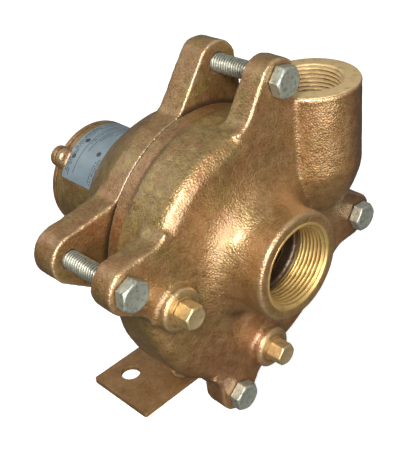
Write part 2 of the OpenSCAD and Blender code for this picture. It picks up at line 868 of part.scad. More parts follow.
module impeller_nut() {
  color(steel) on_shaft() difference() {
    hex_head(nut_af, hub_front_y - washer_t - nut_len, hub_front_y - washer_t);
    bar(thread_r + fit, shaft_front_y, hub_front_y);
  }
}

module seal_seat() {
  color("ivory") on_shaft() ring(seal_bore_r, seal_face_r, seat_front_y, seat_back_y);
}

module seal_seat_cup() {
  color("dimgray") on_shaft()
    ring(seal_face_r + fit, seat_bore_r - fit, seat_front_y + seat_proud, seat_back_y);
}

module seal_carbon() {
  color("darkslategray") on_shaft() ring(seal_bore_r, carbon_r, carbon_front_y, seat_front_y);
}

// Rubber sleeve that grips the shaft and carries the carbon ring
module seal_bellows() {
  front = retainer_front_y + retainer_t;
  color("dimgray") on_shaft() turned() polygon([
    [shaft_r + fit, front], [bellows_r, front], [bellows_r, front + bellows_t / 2],
    [bellows_neck_r, front + bellows_t], [bellows_neck_r, carbon_front_y - bellows_t / 2],
    [bellows_r, carbon_front_y - bellows_t / 2], [bellows_r, carbon_front_y],
    [shaft_r + fit, carbon_front_y]
  ]);
}

// Drawn steel shell round the rubber sleeve
module seal_retainer() {
  back = retainer_front_y + retainer_len;
  color(steel) on_shaft() turned() polygon([
    [seal_bore_r, retainer_front_y], [retainer_r, retainer_front_y], [retainer_r, back],
    [retainer_r - retainer_t, back], [retainer_r - retainer_t, retainer_front_y + retainer_t],
    [seal_bore_r, retainer_front_y + retainer_t]
  ]);
}

// Coil spring between the hub and the retainer: rings of points along a helix
spring_ring_count = spring_turns * spring_rings;
function spring_point(j, s) =
  let (
    a = 360 * j / spring_rings,
    b = 360 * s / spring_sides,
    r = spring_r + spring_wire_r * cos(b),
    y = spring_front_y + (spring_back_y - spring_front_y) * j / spring_ring_count
  )
  [r * cos(a), y + spring_wire_r * sin(b), r * sin(a)];

module seal_spring() {
  n = spring_sides;
  last = spring_ring_count * n;
  color(steel) on_shaft() polyhedron(
    points = [for (j = [0:spring_ring_count]) for (s = [0:n - 1]) spring_point(j, s)],
    faces = concat(
      [[for (s = [0:n - 1]) s]],
      [for (j = [0:spring_ring_count - 1]) for (s = [0:n - 1])
        [j * n + s, (j + 1) * n + s, j * n + (s + 1) % n]],
      [for (j = [0:spring_ring_count - 1]) for (s = [0:n - 1])
        [j * n + (s + 1) % n, (j + 1) * n + s, (j + 1) * n + (s + 1) % n]],
      [[for (s = [n - 1:-1:0]) last + s]]
    )
  );
}

// Rubber disc that throws leaking water off the shaft
module slinger() {
  color("dimgray") on_shaft() turned() polygon([
    [shaft_r + fit, slinger_y], [hub_r, slinger_y], [hub_r, slinger_y + slinger_lip],
    [slinger_r, slinger_y + slinger_len / 2], [slinger_r, slinger_y + slinger_len - slinger_lip],
    [hub_r, slinger_y + slinger_len], [shaft_r + fit, slinger_y + slinger_len]
  ]);
}

// Lip seal of the shaft, open to the front, whose back face lies at y1
module oil_seal(y1) {
  turned() polygon([
    [bearing_bore_r + fit, y1 - lip_seal_len], [bearing_bore_r + lip_seal_groove, y1 - lip_seal_len],
    [bearing_bore_r + lip_seal_groove, y1 - lip_seal_t], [lip_seal_r - lip_seal_groove, y1 - lip_seal_t],
    [lip_seal_r - lip_seal_groove, y1 - lip_seal_len], [lip_seal_r - fit, y1 - lip_seal_len],
    [lip_seal_r - fit, y1], [bearing_bore_r + fit, y1]
  ]);
}

module front_oil_seal() {
  color("dimgray") on_shaft() oil_seal(lip_seal_face_y + lip_seal_len);
}

module rear_oil_seal() {
  color("dimgray") on_shaft() oil_seal(cover_end_y);
}

// Grooved race between two radii, for a bearing whose front face lies at y0
module race(r_in, r_out, y0) {
  turned() difference() {
    translate([r_in, y0]) square([r_out - r_in, bearing_len]);
    translate([ball_circle_r, y0 + bearing_len / 2]) circle(r = ball_r + groove_play);
  }
}

module outer_race(y0) {
  race(ball_circle_r + race_gap, bearing_r, y0);
}

module inner_race(y0) {
  race(bearing_bore_r, ball_circle_r - race_gap, y0);
}

module ball_set(y0) {
  for (k = [0:ball_count - 1]) {
    translate([0, y0 + bearing_len / 2, 0]) round_shaft(ball_circle_r, 360 * k / ball_count)
      sphere(r = ball_r);
  }
}

// Cage with a round pocket for each ball
module ball_cage(y0) {
  mid_y = y0 + bearing_len / 2;
  difference() {
    ring(ball_circle_r - cage_half, ball_circle_r + cage_half, mid_y - cage_len / 2, mid_y + cage_len / 2);
    for (k = [0:ball_count - 1]) {
      translate([0, mid_y, 0]) rotate([0, 90 - 360 * k / ball_count, 0])
        cylinder(r = ball_r + groove_play, h = ball_circle_r + cage_half + over);
    }
  }
}

module front_outer_race() {
  color("silver") on_shaft() outer_race(front_bearing_y);
}

module front_inner_race() {
  color("silver") on_shaft() inner_race(front_bearing_y);
}

module front_balls() {
  color("gainsboro") on_shaft() ball_set(front_bearing_y);
}

module front_cage() {
  color(steel) on_shaft() ball_cage(front_bearing_y);
}

module rear_outer_race() {
  color("silver") on_shaft() outer_race(rear_bearing_y);
}

module rear_inner_race() {
  color("silver") on_shaft() inner_race(rear_bearing_y);
}

module rear_balls() {
  color("gainsboro") on_shaft() ball_set(rear_bearing_y);
}

module rear_cage() {
  color(steel) on_shaft() ball_cage(rear_bearing_y);
}

module wave_spring() {
  color(steel) on_shaft()
    ring(ball_circle_r + race_gap, bearing_r - small_edge,
         rear_bearing_y + bearing_len, rear_bearing_y + bearing_len + wave_t);
}

// Cover that closes the bearing housing, with a lug over each lug of the frame
module bearing_cover() {
  spigot_r = bearing_r - fit;
  seal_floor_y = cover_end_y - lip_seal_len;
  color(bronze) on_shaft() difference() {
    union() {
      turned() polygon([
        [spigot_r - cover_spigot_t, housing_back_y - cover_spigot], [spigot_r, housing_back_y - cover_spigot],
        [spigot_r, housing_back_y], [housing_r, housing_back_y], [housing_r, cover_back_y - edge],
        [housing_r - edge, cover_back_y], [cover_hub_r, cover_back_y], [cover_hub_r, cover_end_y],
        [lip_seal_r, cover_end_y], [lip_seal_r, seal_floor_y], [bearing_bore_r + edge, seal_floor_y],
        [bearing_bore_r + edge, seal_floor_y - edge], [spigot_r - cover_spigot_t, seal_floor_y - edge]
      ]);
      at_screws() bar(lug_r, housing_back_y, cover_back_y);
    }
    at_screws() bar(screw_r + fit, housing_back_y - over, cover_back_y + over);
  }
}

module cover_screws() {
  color(zinc) on_shaft() at_screws() {
    bar(screw_r, housing_back_y - lug_len + screw_tip_wall + screw_end_gap, cover_back_y);
    back_chamfered_bar(screw_head_r, cover_back_y, cover_back_y + screw_head_len, edge);
  }
}

// Puts its children on the two screws that hold the foot plate
module at_foot_screws() {
  for (side = [-1, 1]) {
    translate([0, (pad_back - pad_front) / 2 + side * foot_screw_pitch / 2, 0]) children();
  }
}

// Sunk head of a foot screw, flush with the underside of the foot
module screw_sink(gap) {
  cylinder(r1 = foot_screw_head_r + gap, r2 = foot_screw_r + gap, h = foot_screw_head_r - foot_screw_r);
}

module foot_plate() {
  back = foot_hole_back;
  r = foot_corner_r;
  color(bronze) difference() {
    union() {
      translate([-foot_half, back - foot_depth + r, 0]) cube([2 * foot_half, foot_depth - 2 * r, foot_t]);
      translate([r - foot_half, back - foot_depth, 0]) cube([2 * (foot_half - r), foot_depth, foot_t]);
      for (x = [r - foot_half, foot_half - r], y = [back - foot_depth + r, back - r]) {
        translate([x, y, 0]) cylinder(r = r, h = foot_t);
      }
    }
    for (side = [-1, 1]) {
      translate([side * foot_hole_spacing / 2, 0, -over]) cylinder(r = foot_hole_r, h = foot_t + 2 * over);
    }
    at_foot_screws() {
      cylinder(r = foot_screw_r + fit, h = foot_t + over);
      translate([0, 0, -over]) cylinder(r = foot_screw_head_r + fit, h = over);
      screw_sink(fit);
    }
  }
}

module foot_screws() {
  color(zinc) at_foot_screws() {
    screw_sink(0);
    cylinder(r = foot_screw_r, h = foot_screw_len);
  }
}

// Bare label bent round the left and top of the bearing housing
module name_label() {
  color("lightsteelblue") on_shaft() rotate([-90, 0, 0])
    rotate_extrude(angle = label_to - label_from, start = -label_to)
      translate([housing_r + fit, housing_front_y + label_front])
        square([label_t, housing_len - label_front - lug_len - label_gap]);
}

volute_casing();
bearing_frame();
seal_plate();
casing_gasket();
wear_ring();
casing_bolts();
gauge_plug();
drain_plug();
impeller();
impeller_key();
impeller_washer();
impeller_nut();
pump_shaft();
coupling_key();
seal_seat();
seal_seat_cup();
seal_carbon();
seal_bellows();
seal_retainer();
seal_spring();
slinger();
front_oil_seal();
front_outer_race();
front_inner_race();
front_balls();
front_cage();
rear_outer_race();
rear_inner_race();
rear_balls();
rear_cage();
wave_spring();
bearing_cover();
rear_oil_seal();
cover_screws();
foot_plate();
foot_screws();
name_label();
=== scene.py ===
# %% [markdown]
# # A cast bronze centrifugal pump, dressed for its portrait
#
# The imported model gives every piece of the pump its true size and place. This script leaves those
# places alone and gives the pieces the looks of the real ones: sand-cast skins with soft edges, cut
# threads, zinc-plated bolts and brass plugs. The frame is loaded first. Nothing that is added here
# may grow past it.

# %% Load the frame
import json
import math

import bpy
import numpy as np
from mathutils import Matrix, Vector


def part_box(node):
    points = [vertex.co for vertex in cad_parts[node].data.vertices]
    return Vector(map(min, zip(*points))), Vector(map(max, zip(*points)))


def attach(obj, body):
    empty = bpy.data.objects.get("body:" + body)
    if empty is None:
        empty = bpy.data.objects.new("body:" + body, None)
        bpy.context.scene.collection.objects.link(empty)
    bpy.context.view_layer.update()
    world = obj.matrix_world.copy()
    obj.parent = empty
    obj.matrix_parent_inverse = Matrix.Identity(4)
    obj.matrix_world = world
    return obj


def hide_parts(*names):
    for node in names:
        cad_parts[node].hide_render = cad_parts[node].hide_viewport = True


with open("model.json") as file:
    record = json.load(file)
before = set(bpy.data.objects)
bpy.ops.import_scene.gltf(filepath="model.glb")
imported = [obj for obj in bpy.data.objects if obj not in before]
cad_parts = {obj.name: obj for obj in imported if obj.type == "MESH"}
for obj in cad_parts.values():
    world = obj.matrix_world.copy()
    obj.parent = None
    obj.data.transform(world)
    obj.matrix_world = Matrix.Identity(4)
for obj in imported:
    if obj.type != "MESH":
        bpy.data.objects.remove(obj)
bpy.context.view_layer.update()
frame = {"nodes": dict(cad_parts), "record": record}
nodes = frame["nodes"]
print("pieces in the frame:", len(nodes))

# %% [markdown]
# ## Sizes that everything else follows
#
# The mounts in the record say where the ports are and how wide their threads are. The boxes of single
# pieces say the rest, such as where the front wall and the joint between casing and frame lie. A
# mount's point lies MOUNT_DEPTH inside its mouth. Lengths in this script are metres, and MM turns a
# size in millimetres into them.

# %% Sizes and stations
MM = 0.001
mounts = {m["name"]: m for m in frame["record"]["mounts"]}
shaft_z = mounts["suction_port"]["pos_m"][2]
mouth_y = float(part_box("volute_casing")[0].y)
joint_y = float(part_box("volute_casing")[1].y)
front_y = float(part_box("wear_ring")[0].y)
discharge_x, discharge_y = mounts["discharge_port"]["pos_m"][:2]
MOUNT_DEPTH = 1 * MM
discharge_top = mounts["discharge_port"]["pos_m"][2] + MOUNT_DEPTH
suction_r = mounts["suction_port"]["dims"]["r_mm"] * MM
discharge_r = mounts["discharge_port"]["dims"]["r_mm"] * MM
thread_len = mounts["suction_port"]["dims"]["length_mm"] * MM
cover_front_y = float(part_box("bearing_cover")[0].y)
print("suction mouth at y", round(mouth_y / MM, 2), "mm, joint at y", round(joint_y / MM, 2), "mm")

# %% [markdown]
# ## The camera
#
# The photograph was taken from the front left, a little above the pump, with the camera tipped
# slightly to one side. A camera is a place and three directions: backwards along its line of sight,
# to its right and up. From a compass angle and a height angle all three follow, and a roll turns the
# last two about the line of sight.

# %% Camera at the photograph's angle
PHOTO_W, PHOTO_H = 404, 450
SENSOR_H = 36.0
camera_place = np.array([-246.19, -309.52, 333.49]) * MM
camera_azimuth = -0.72051
camera_elevation = 0.57144
camera_roll = -0.11357
focal_px = 846.2
centre_px = (202.54, 225.72)


def put(name, data):
    """An object for a mesh, a lamp or a camera, linked to the scene."""
    made = bpy.data.objects.new(name, data)
    bpy.context.scene.collection.objects.link(made)
    return made


def aim(holder, right, up, back, place):
    """Gives an object three directions and a place, which are the columns of its matrix."""
    columns = np.column_stack([right, up, back, place])
    holder.matrix_world = Matrix(np.vstack([columns, [0, 0, 0, 1]]).tolist())
    return holder


def photo_camera():
    """back = (sin a cos e, -cos a cos e, sin e), right = (cos a, sin a, 0), up = back x right."""
    a, e, r = camera_azimuth, camera_elevation, camera_roll
    back = np.array([math.sin(a) * math.cos(e), -math.cos(a) * math.cos(e), math.sin(e)])
    right = np.array([math.cos(a), math.sin(a), 0.0])
    up = np.cross(back, right)
    rolled_right = math.cos(r) * right + math.sin(r) * up
    rolled_up = -math.sin(r) * right + math.cos(r) * up
    lens = bpy.data.cameras.new("photo_camera")
    lens.sensor_fit = "VERTICAL"
    lens.sensor_height = SENSOR_H
    lens.lens = focal_px * SENSOR_H / PHOTO_H
    lens.shift_x = -(centre_px[0] - PHOTO_W / 2) / PHOTO_H
    lens.shift_y = (centre_px[1] - PHOTO_H / 2) / PHOTO_H
    lens.clip_start = 0.01
    return aim(put("photo_camera", lens), rolled_right, rolled_up, back, camera_place)


bpy.context.scene.camera = photo_camera()
print("focal length", round(bpy.context.scene.camera.data.lens, 2), "mm")

# %% [markdown]
# ## Floor and light
#
# Bronze shows what it reflects, so the light matters as much as the metal. A small key lamp at the
# upper left draws the bright ridges, a wide lamp in front opens the wall, and two faint ones lift the
# right side and the back. The room is dark low down, so that undersides stay dark. The floor is a
# plain pale sheet with a faint glow of its own, and it is left out of the metal's reflections, which
# it would turn pale from below.

# %% Floor
bpy.context.scene.view_settings.view_transform = "Standard"
FLOOR_HALF = 1.6


def floor_sheet():
    """A flat square of side 2 * FLOOR_HALF at height zero."""
    mesh = bpy.data.meshes.new("floor")
    h = FLOOR_HALF
    mesh.from_pydata([(-h, -h, 0), (h, -h, 0), (h, h, 0), (-h, h, 0)], [], [(0, 1, 2, 3)])
    sheet = put("floor", mesh)
    return sheet


floor = floor_sheet()
floor.visible_glossy = False
floor.visible_diffuse = False

# %% Lamps and room
LAMPS = {
    "key_lamp": ((-0.62, -0.50, 0.80), 0.26, 11.0),
    "front_lamp": ((-0.38, -1.00, 0.26), 0.80, 12.0),
    "right_lamp": ((0.95, -0.30, 0.80), 0.40, 0.30),
    "back_lamp": ((-0.35, 0.80, 0.80), 0.60, 1.5),
}
LAMP_TARGET = np.array([0.0, -0.03, 0.09])


def area_lamp(name, place, size, watts):
    """A square soft lamp whose -Z axis points from its place to the target."""
    lamp = bpy.data.lights.new(name, "AREA")
    lamp.shape = "SQUARE"
    lamp.size = size
    lamp.energy = watts
    back = np.array(place) - LAMP_TARGET
    back /= np.linalg.norm(back)
    right = np.cross([0.0, 0.0, 1.0], back)
    right /= np.linalg.norm(right)
    return aim(put(name, lamp), right, np.cross(back, right), back, place)


for lamp_name, (lamp_place, lamp_size, lamp_watts) in LAMPS.items():
    area_lamp(lamp_name, lamp_place, lamp_size, lamp_watts)
ROOM_STOPS = [
    (0.0, (0.06, 0.055, 0.05, 1.0)),
    (0.48, (0.13, 0.122, 0.115, 1.0)),
    (0.72, (0.20, 0.20, 0.20, 1.0)),
    (1.0, (0.42, 0.42, 0.42, 1.0)),
]


def studio_room():
    """A room dark low down and pale overhead: a ramp over a half plus half the direction's height."""
    room = bpy.data.worlds.new("room")
    room.use_nodes = True
    nodes_of_room, links = room.node_tree.nodes, room.node_tree.links
    where = nodes_of_room.new("ShaderNodeTexCoord")
    split = nodes_of_room.new("ShaderNodeSeparateXYZ")
    height = nodes_of_room.new("ShaderNodeMath")
    height.operation = "MULTIPLY_ADD"
    height.inputs[1].default_value = 0.5
    height.inputs[2].default_value = 0.5
    ramp = nodes_of_room.new("ShaderNodeValToRGB")
    for at, colour in ROOM_STOPS[1:-1]:
        ramp.color_ramp.elements.new(at)
    for element, (at, colour) in zip(ramp.color_ramp.elements, ROOM_STOPS):
        element.position = at
        element.color = colour
    links.new(where.outputs["Generated"], split.inputs[0])
    links.new(split.outputs["Z"], height.inputs[0])
    links.new(height.outputs[0], ramp.inputs[0])
    links.new(ramp.outputs[0], nodes_of_room["Background"].inputs["Color"])
    return room


bpy.context.scene.world = studio_room()
print("lamps:", len(LAMPS))

# %% [markdown]
# ## Shader sums written as Python
#
# A finish is a small graph of nodes. Wrapping a node's socket in a class with operators lets the
# graph read like the formula that it is: `1 - mask * 0.4` adds its own Math nodes.

# %% A socket that does arithmetic
class Field:
    """One value of a finish that varies over the surface: an output socket with operators."""

    def __init__(self, finish, socket):
        self.finish = finish
        self.socket = socket

    def maths(self, operation, *values, clamp=False):
        settings = {"operation": operation, "use_clamp": clamp}
        return self.finish.node("Math", settings, dict(enumerate(values)))

    def __add__(self, other):
        return self.maths("ADD", self, other)

    def __radd__(self, other):
        return self.maths("ADD", other, self)

    def __sub__(self, other):
        return self.maths("SUBTRACT", self, other)

    def __rsub__(self, other):
        return self.maths("SUBTRACT", other, self)

    def __mul__(self, other):
        return self.maths("MULTIPLY", self, other)

    def __rmul__(self, other):
        return self.maths("MULTIPLY", other, self)

    def clamped(self):
        return self.maths("ADD", self, 0.0, clamp=True)

    def size(self):
        return self.maths("ABSOLUTE", self)

    def step(self, low, high):
        """0 below low, 1 above high, and smooth between them."""
        settings = {"interpolation_type": "SMOOTHSTEP", "clamp": True}
        return self.finish.node("MapRange", settings, {0: self, 1: low, 2: high, 3: 0.0, 4: 1.0})


# %% A finish and its one node maker
class Finish:
    """A material with a Principled shader, whose nodes are all made by one method."""

    def __init__(self, name, **constants):
        self.material = bpy.data.materials.new(name)
        self.material.use_nodes = True
        self.tree = self.material.node_tree
        self.shader = self.tree.nodes["Principled BSDF"]
        for key, value in constants.items():
            self.shader.inputs[key.replace("_", " ").title().replace("Ior", "IOR")].default_value = value
        self.place = self.node("TexCoord", out="Object")

    def node(self, kind, settings=None, inputs=None, out=0):
        """Adds a node: its settings first, then the value or link of each socket."""
        made = self.tree.nodes.new("ShaderNode" + kind)
        for key, value in (settings or {}).items():
            if key == "stops":
                ramp = made.color_ramp
                while len(ramp.elements) < len(value):
                    ramp.elements.new(0.5)
                for element, (at, colour) in zip(ramp.elements, value):
                    element.position = at
                    element.color = colour
            else:
                setattr(made, key, value)
        for key, value in (inputs or {}).items():
            if isinstance(value, Field):
                self.tree.links.new(value.socket, made.inputs[key])
            else:
                made.inputs[key].default_value = value
        return Field(self, made.outputs[out])

    def noise(self, size, detail=3.0, rough=0.5, at=None):
        """Cloudy pattern whose spots are about size metres wide, from 0 to 1 around 0.5."""
        inputs = {"Vector": at or self.place, "Scale": 1.0 / size, "Detail": detail, "Roughness": rough}
        return self.node("TexNoise", {"noise_dimensions": "3D"}, inputs)

    def mix(self, mask, a, b):
        """Colour a where the mask is 0 and colour b where it is 1."""
        return self.node("Mix", {"data_type": "RGBA"}, {0: mask, 6: a, 7: b}, out=2)

    def attribute(self, name):
        """A number that each point of the mesh carries under this name."""
        return self.node("Attribute", {"attribute_name": name}, out="Fac")

    def use(self, **fields):
        """Feeds fields into the Principled shader."""
        for key, value in fields.items():
            socket = self.shader.inputs[key.replace("_", " ").title()]
            self.tree.links.new(value.socket, socket)
        return self

    def bump(self, height, distance, strength=1.0):
        """Tilts the shading as if the surface rose by height times distance."""
        return self.node("Bump", None, {"Height": height, "Distance": distance, "Strength": strength})


def rgb(r, g, b):
    return (r, g, b, 1.0)


# %% [markdown]
# ## Cast bronze
#
# Sand casting leaves a skin of small bumps, about a millimetre wide. Handling has rubbed its ridges
# bright and left its hollows dull and dark; in the colour the paler ridges are partly that wear and
# partly a painted highlight, the darker hollows partly grime and partly painted shade. Slow clouds
# of colour lie under that, olive with yellow patches and red, as on metal that has aged. The bright
# ridges and dark hollows come from a number that each point of the mesh carries, worked out from how
# sharply the surface bends there. The tops of the small bumps are paler too, with painted glints. A
# thin clear coat gives the whitish sheen of oiled metal.

# %% Cast bronze finish
BRONZE = rgb(0.365, 0.192, 0.065)
BRONZE_OLIVE = rgb(0.29, 0.195, 0.056)
BRONZE_YELLOW = rgb(0.46, 0.33, 0.09)
BRONZE_RED = rgb(0.32, 0.130, 0.046)
BRONZE_PALE = rgb(0.70, 0.50, 0.29)
BRONZE_DARK = rgb(0.075, 0.038, 0.014)
SLOW_CLOUD, OTHER_CLOUD, YELLOW_CLOUD, BLOTCH = 22 * MM, 15 * MM, 6 * MM, 5 * MM
PEBBLE, GRIT, PIT = 1.0 * MM, 2.2 * MM, 0.6 * MM
JOINT_LINE = (0.25 * MM, 0.9 * MM)
SKIN_BUMP = 0.42 * MM


def cast_bronze(name, grain=1.0, roughness=0.40):
    """Cast skin: painted tints broken by clouds, fine bumps, bright ridges and dull hollows. The bright
    ridges are part wear, part painted highlight; the dark hollows part grime, part painted shade.
    """
    f = Finish(name, metallic=0.66, specular_ior_level=0.8, coat_weight=0.75, coat_roughness=0.34)
    far = f.node("VectorMath", {"operation": "ADD"}, {0: f.place, 1: (0.3, 0.1, 0.7)})
    slow = f.noise(SLOW_CLOUD, 4.0, 0.6)
    other = f.noise(OTHER_CLOUD, 4.0, 0.6, at=far)
    blotch = f.noise(BLOTCH, 4.0, 0.65)
    pebbles = f.node("TexVoronoi", {"feature": "SMOOTH_F1"},
                     {"Vector": f.place, "Scale": 1.0 / (PEBBLE * grain), "Smoothness": 0.7})
    grit = (1 - pebbles) * 0.75 + f.noise(GRIT * grain, 2.0, 0.5) * 0.45
    pits = f.noise(PIT * grain, 2.0, 0.6, at=far)
    ridge, hollow = f.attribute("ridge"), f.attribute("hollow")
    along = f.node("SeparateXYZ", None, {0: f.place}, out=1)
    joint_line = (1 - (along - joint_y).size().step(*JOINT_LINE)) * f.attribute("joint")
    olive = (f.attribute("olive") * 0.9 + slow - 0.62).step(0.0, 0.35)
    red = (f.attribute("red") * 0.8 + other - 0.62).step(0.0, 0.35)
    colour = f.mix(olive * 0.85, BRONZE, BRONZE_OLIVE)
    colour = f.mix(f.noise(YELLOW_CLOUD, 4.0, 0.6).step(0.50, 0.66) * olive * 0.55, colour, BRONZE_YELLOW)
    colour = f.mix(red * 0.8, colour, BRONZE_RED)
    colour = f.mix(blotch.step(0.45, 0.75) * 0.24, colour, BRONZE_PALE)
    colour = f.mix(blotch.step(0.48, 0.25) * 0.38, colour, BRONZE_DARK)
    # The grain's pits are darker and its tops paler: grain tone, with painted glints on the tops.
    colour = f.mix(grit.step(0.60, 0.38) * 0.32, colour, BRONZE_DARK)
    colour = f.mix(grit.step(0.70, 0.95) * 0.20, colour, BRONZE_PALE)
    # Painted shade: hollows, which are partly grime too, and the casing's painted shade number darken the
    # colour.
    colour = f.mix((hollow * 0.9 + f.attribute("shade")).clamped(), colour, BRONZE_DARK)
    # Painted highlight: ridges are made paler, and partly this is also wear.
    colour = f.mix((ridge * 0.8).clamped(), colour, BRONZE_PALE)
    colour = f.mix(joint_line * 0.85, colour, BRONZE_DARK)
    rough = roughness + (blotch - 0.5) * 0.15 - ridge * 0.10 + hollow * 0.2
    skin = grit * 0.75 + pits * 0.25
    return f.use(base_color=colour, roughness=rough, normal=f.bump(skin, SKIN_BUMP)).material


bronze_casing = cast_bronze("cast_bronze_casing")
bronze_frame = cast_bronze("cast_bronze_frame", roughness=0.44)
bronze_plate = cast_bronze("rolled_bronze_plate", grain=0.6, roughness=0.5)
print("cast finishes made")

# %% [markdown]
# ## Machined and plated finishes
#
# Cut threads are the metal's own yellow, with fine rings from the tool. Zinc plating is grey with a
# faint green cast and a dull, cloudy shine. Brass plugs are brighter and yellower than the casting.

# %% Cut bronze, brass, zinc and steel
def rings(f, width, axis):
    """Fine tool marks: noise that changes fast along one axis and hardly at all across it."""
    stretch = [0.02, 0.02, 0.02]
    stretch[axis] = 1.0
    return f.noise(width, 3.0, 0.6, at=f.node("Mapping", None, {"Vector": f.place, "Scale": tuple(stretch)}))


def machined(name, colour, dark, axis=1, roughness=0.3, metallic=1.0, mark=0.35 * MM, depth=0.03 * MM,
             cloud=5 * MM):
    """Metal with tool marks across the given axis and a little tarnish in clouds."""
    f = Finish(name, metallic=metallic)
    marks = rings(f, mark, axis)
    tarnish = f.noise(cloud, 4.0, 0.65)
    shade = f.mix(tarnish.step(0.45, 0.72) * 0.75, colour, dark)
    # Painted shade: the groove number darkens thread roots and the deep end of a bore.
    shade = f.mix((f.attribute("groove") * 0.95).clamped(), shade, BRONZE_DARK)
    rough = roughness + marks * 0.12 + tarnish * 0.15
    return f.use(base_color=shade, roughness=rough, normal=f.bump(marks, depth)).material


cut_bronze_suction = machined("cut_bronze_suction", rgb(0.70, 0.485, 0.175), rgb(0.50, 0.30, 0.09),
                              metallic=0.75)
cut_bronze_discharge = machined("cut_bronze_discharge", rgb(0.74, 0.54, 0.27), rgb(0.46, 0.32, 0.14), axis=2,
                                roughness=0.42, metallic=0.6)
worn_face = machined("worn_face", rgb(0.46, 0.33, 0.15), rgb(0.24, 0.17, 0.08), roughness=0.38, metallic=0.85)
turned_bronze = machined("turned_bronze", rgb(0.60, 0.42, 0.18), rgb(0.36, 0.24, 0.10))
plug_brass = machined("plug_brass", rgb(0.80, 0.61, 0.31), rgb(0.40, 0.29, 0.13), roughness=0.28,
                      metallic=0.85, mark=0.8 * MM, cloud=3 * MM)
zinc_plate = machined("zinc_plate", rgb(0.47, 0.49, 0.40), rgb(0.15, 0.16, 0.12), roughness=0.30,
                      metallic=0.75, mark=0.9 * MM, cloud=2.2 * MM)
turned_steel = machined("turned_steel", rgb(0.55, 0.55, 0.56), rgb(0.36, 0.36, 0.38), roughness=0.24)
ground_steel = machined("ground_steel", rgb(0.66, 0.66, 0.67), rgb(0.50, 0.50, 0.51), roughness=0.14,
                        depth=0.01 * MM)


# %% Rubber, carbon, ceramic and paper
def dull(name, colour, pale, roughness=0.6, grain=0.6 * MM, depth=0.03 * MM, **constants):
    """A plain moulded or pressed stuff with a fine grain and faint clouds."""
    f = Finish(name, **constants)
    cloud = f.noise(8 * MM, 3.0)
    fine = f.noise(grain, 3.0, 0.6)
    shade = f.mix(cloud.step(0.35, 0.75) * 0.6, colour, pale)
    return f.use(base_color=shade, roughness=roughness + fine * 0.15, normal=f.bump(fine, depth)).material


rubber = dull("rubber", rgb(0.018, 0.018, 0.019), rgb(0.05, 0.05, 0.05))
carbon = dull("carbon", rgb(0.03, 0.03, 0.033), rgb(0.06, 0.06, 0.065), roughness=0.3)
ceramic = dull("ceramic", rgb(0.80, 0.77, 0.68), rgb(0.86, 0.84, 0.78), roughness=0.15, depth=0.005 * MM)
gasket_paper = dull("gasket_paper", rgb(0.05, 0.06, 0.055), rgb(0.10, 0.11, 0.10), roughness=0.8)
floor_white = dull("floor_white", rgb(0.84, 0.84, 0.84), rgb(0.88, 0.88, 0.88), roughness=0.9, grain=20 * MM,
                   depth=0.0, emission_color=rgb(1.0, 1.0, 1.0), emission_strength=0.62)
floor.data.materials.append(floor_white)

# %% [markdown]
# ## Finishes for the pieces that stay as they are
#
# Shaft, key, seal and bearings are right as the model has them. They keep their shapes and only take
# a finish. Each name is matched with its metal in one table.

# %% Dress the kept nodes
KEPT = {
    turned_steel: ["pump_shaft", "coupling_key", "impeller_key", "impeller_washer", "impeller_nut",
                   "wave_spring", "seal_retainer", "seal_spring", "front_cage", "rear_cage"],
    ground_steel: ["front_outer_race", "front_inner_race", "front_balls", "rear_outer_race",
                   "rear_inner_race", "rear_balls"],
    turned_bronze: ["impeller", "wear_ring", "seal_plate"],
    rubber: ["seal_seat_cup", "seal_bellows", "slinger", "front_oil_seal", "rear_oil_seal"],
    carbon: ["seal_carbon"],
    ceramic: ["seal_seat"],
    gasket_paper: ["casing_gasket"],
    zinc_plate: ["foot_screws"],
}
for finish, names in KEPT.items():
    for name in names:
        nodes[name].data.materials.clear()
        nodes[name].data.materials.append(finish)
print("kept nodes dressed:", sum(len(names) for names in KEPT.values()))

# %% [markdown]
# ## Castings with a soft skin
#
# A sand mould can't hold a sharp corner, so every edge of a casting is rounded and every corner
# filled. The model's solids are sharp. A copy is cut into even cubes of about a millimetre and
# wrapped again, which gives a close, even net, and that net is relaxed: each point moves towards the
# mean of its neighbours, again and again, so that corners melt while flats stay flat. Where a tool
# has cut the metal the points hold still.

# %% Even net over a copy of a node
def read_all(items, field, width, kind=np.float32):
    """One field of every point, edge or corner, as rows of the given width."""
    values = np.empty(len(items) * width, kind)
    items.foreach_get(field, values)
    return values.reshape(-1, width)


def same_points(co, close):
    """Sorts rounded positions: the first point of each place, and each point's place."""
    key = np.round(co / close).astype(np.int64)
    _, first, back = np.unique(key, axis=0, return_index=True, return_inverse=True)
    return first, back.ravel()


def merged_copy(node, name):
    """A copy of a node's mesh with its doubled points merged."""
    source = nodes[node].data
    co = read_all(source.vertices, "co", 3)
    corner = read_all(source.loops, "vertex_index", 1, np.int32)
    first, back = same_points(co, 0.001 * MM)
    faces = back[corner].reshape(-1, 3)
    keep = (faces[:, 0] != faces[:, 1]) & (faces[:, 1] != faces[:, 2]) & (faces[:, 0] != faces[:, 2])
    return net_object(name, co[first], faces[keep])


def net_object(name, points, faces):
    """A smooth mesh object from an array of points and an array of faces with three or four corners."""
    mesh = bpy.data.meshes.new(name)
    mesh.from_pydata(np.asarray(points, float).tolist(), [], np.asarray(faces).tolist())
    mesh.validate()
    mesh.shade_smooth()
    return put(name, mesh)


def wrapped_again(piece, cube):
    """The piece's mesh cut into cubes of this side and wrapped, as a new mesh."""
    modifier = piece.modifiers.new("wrap", "REMESH")
    modifier.mode = "VOXEL"
    modifier.voxel_size = cube
    modifier.use_smooth_shade = True
    ready = piece.evaluated_get(bpy.context.evaluated_depsgraph_get())
    mesh = bpy.data.meshes.new_from_object(ready)
    piece.modifiers.clear()
    piece.data = mesh
    return mesh


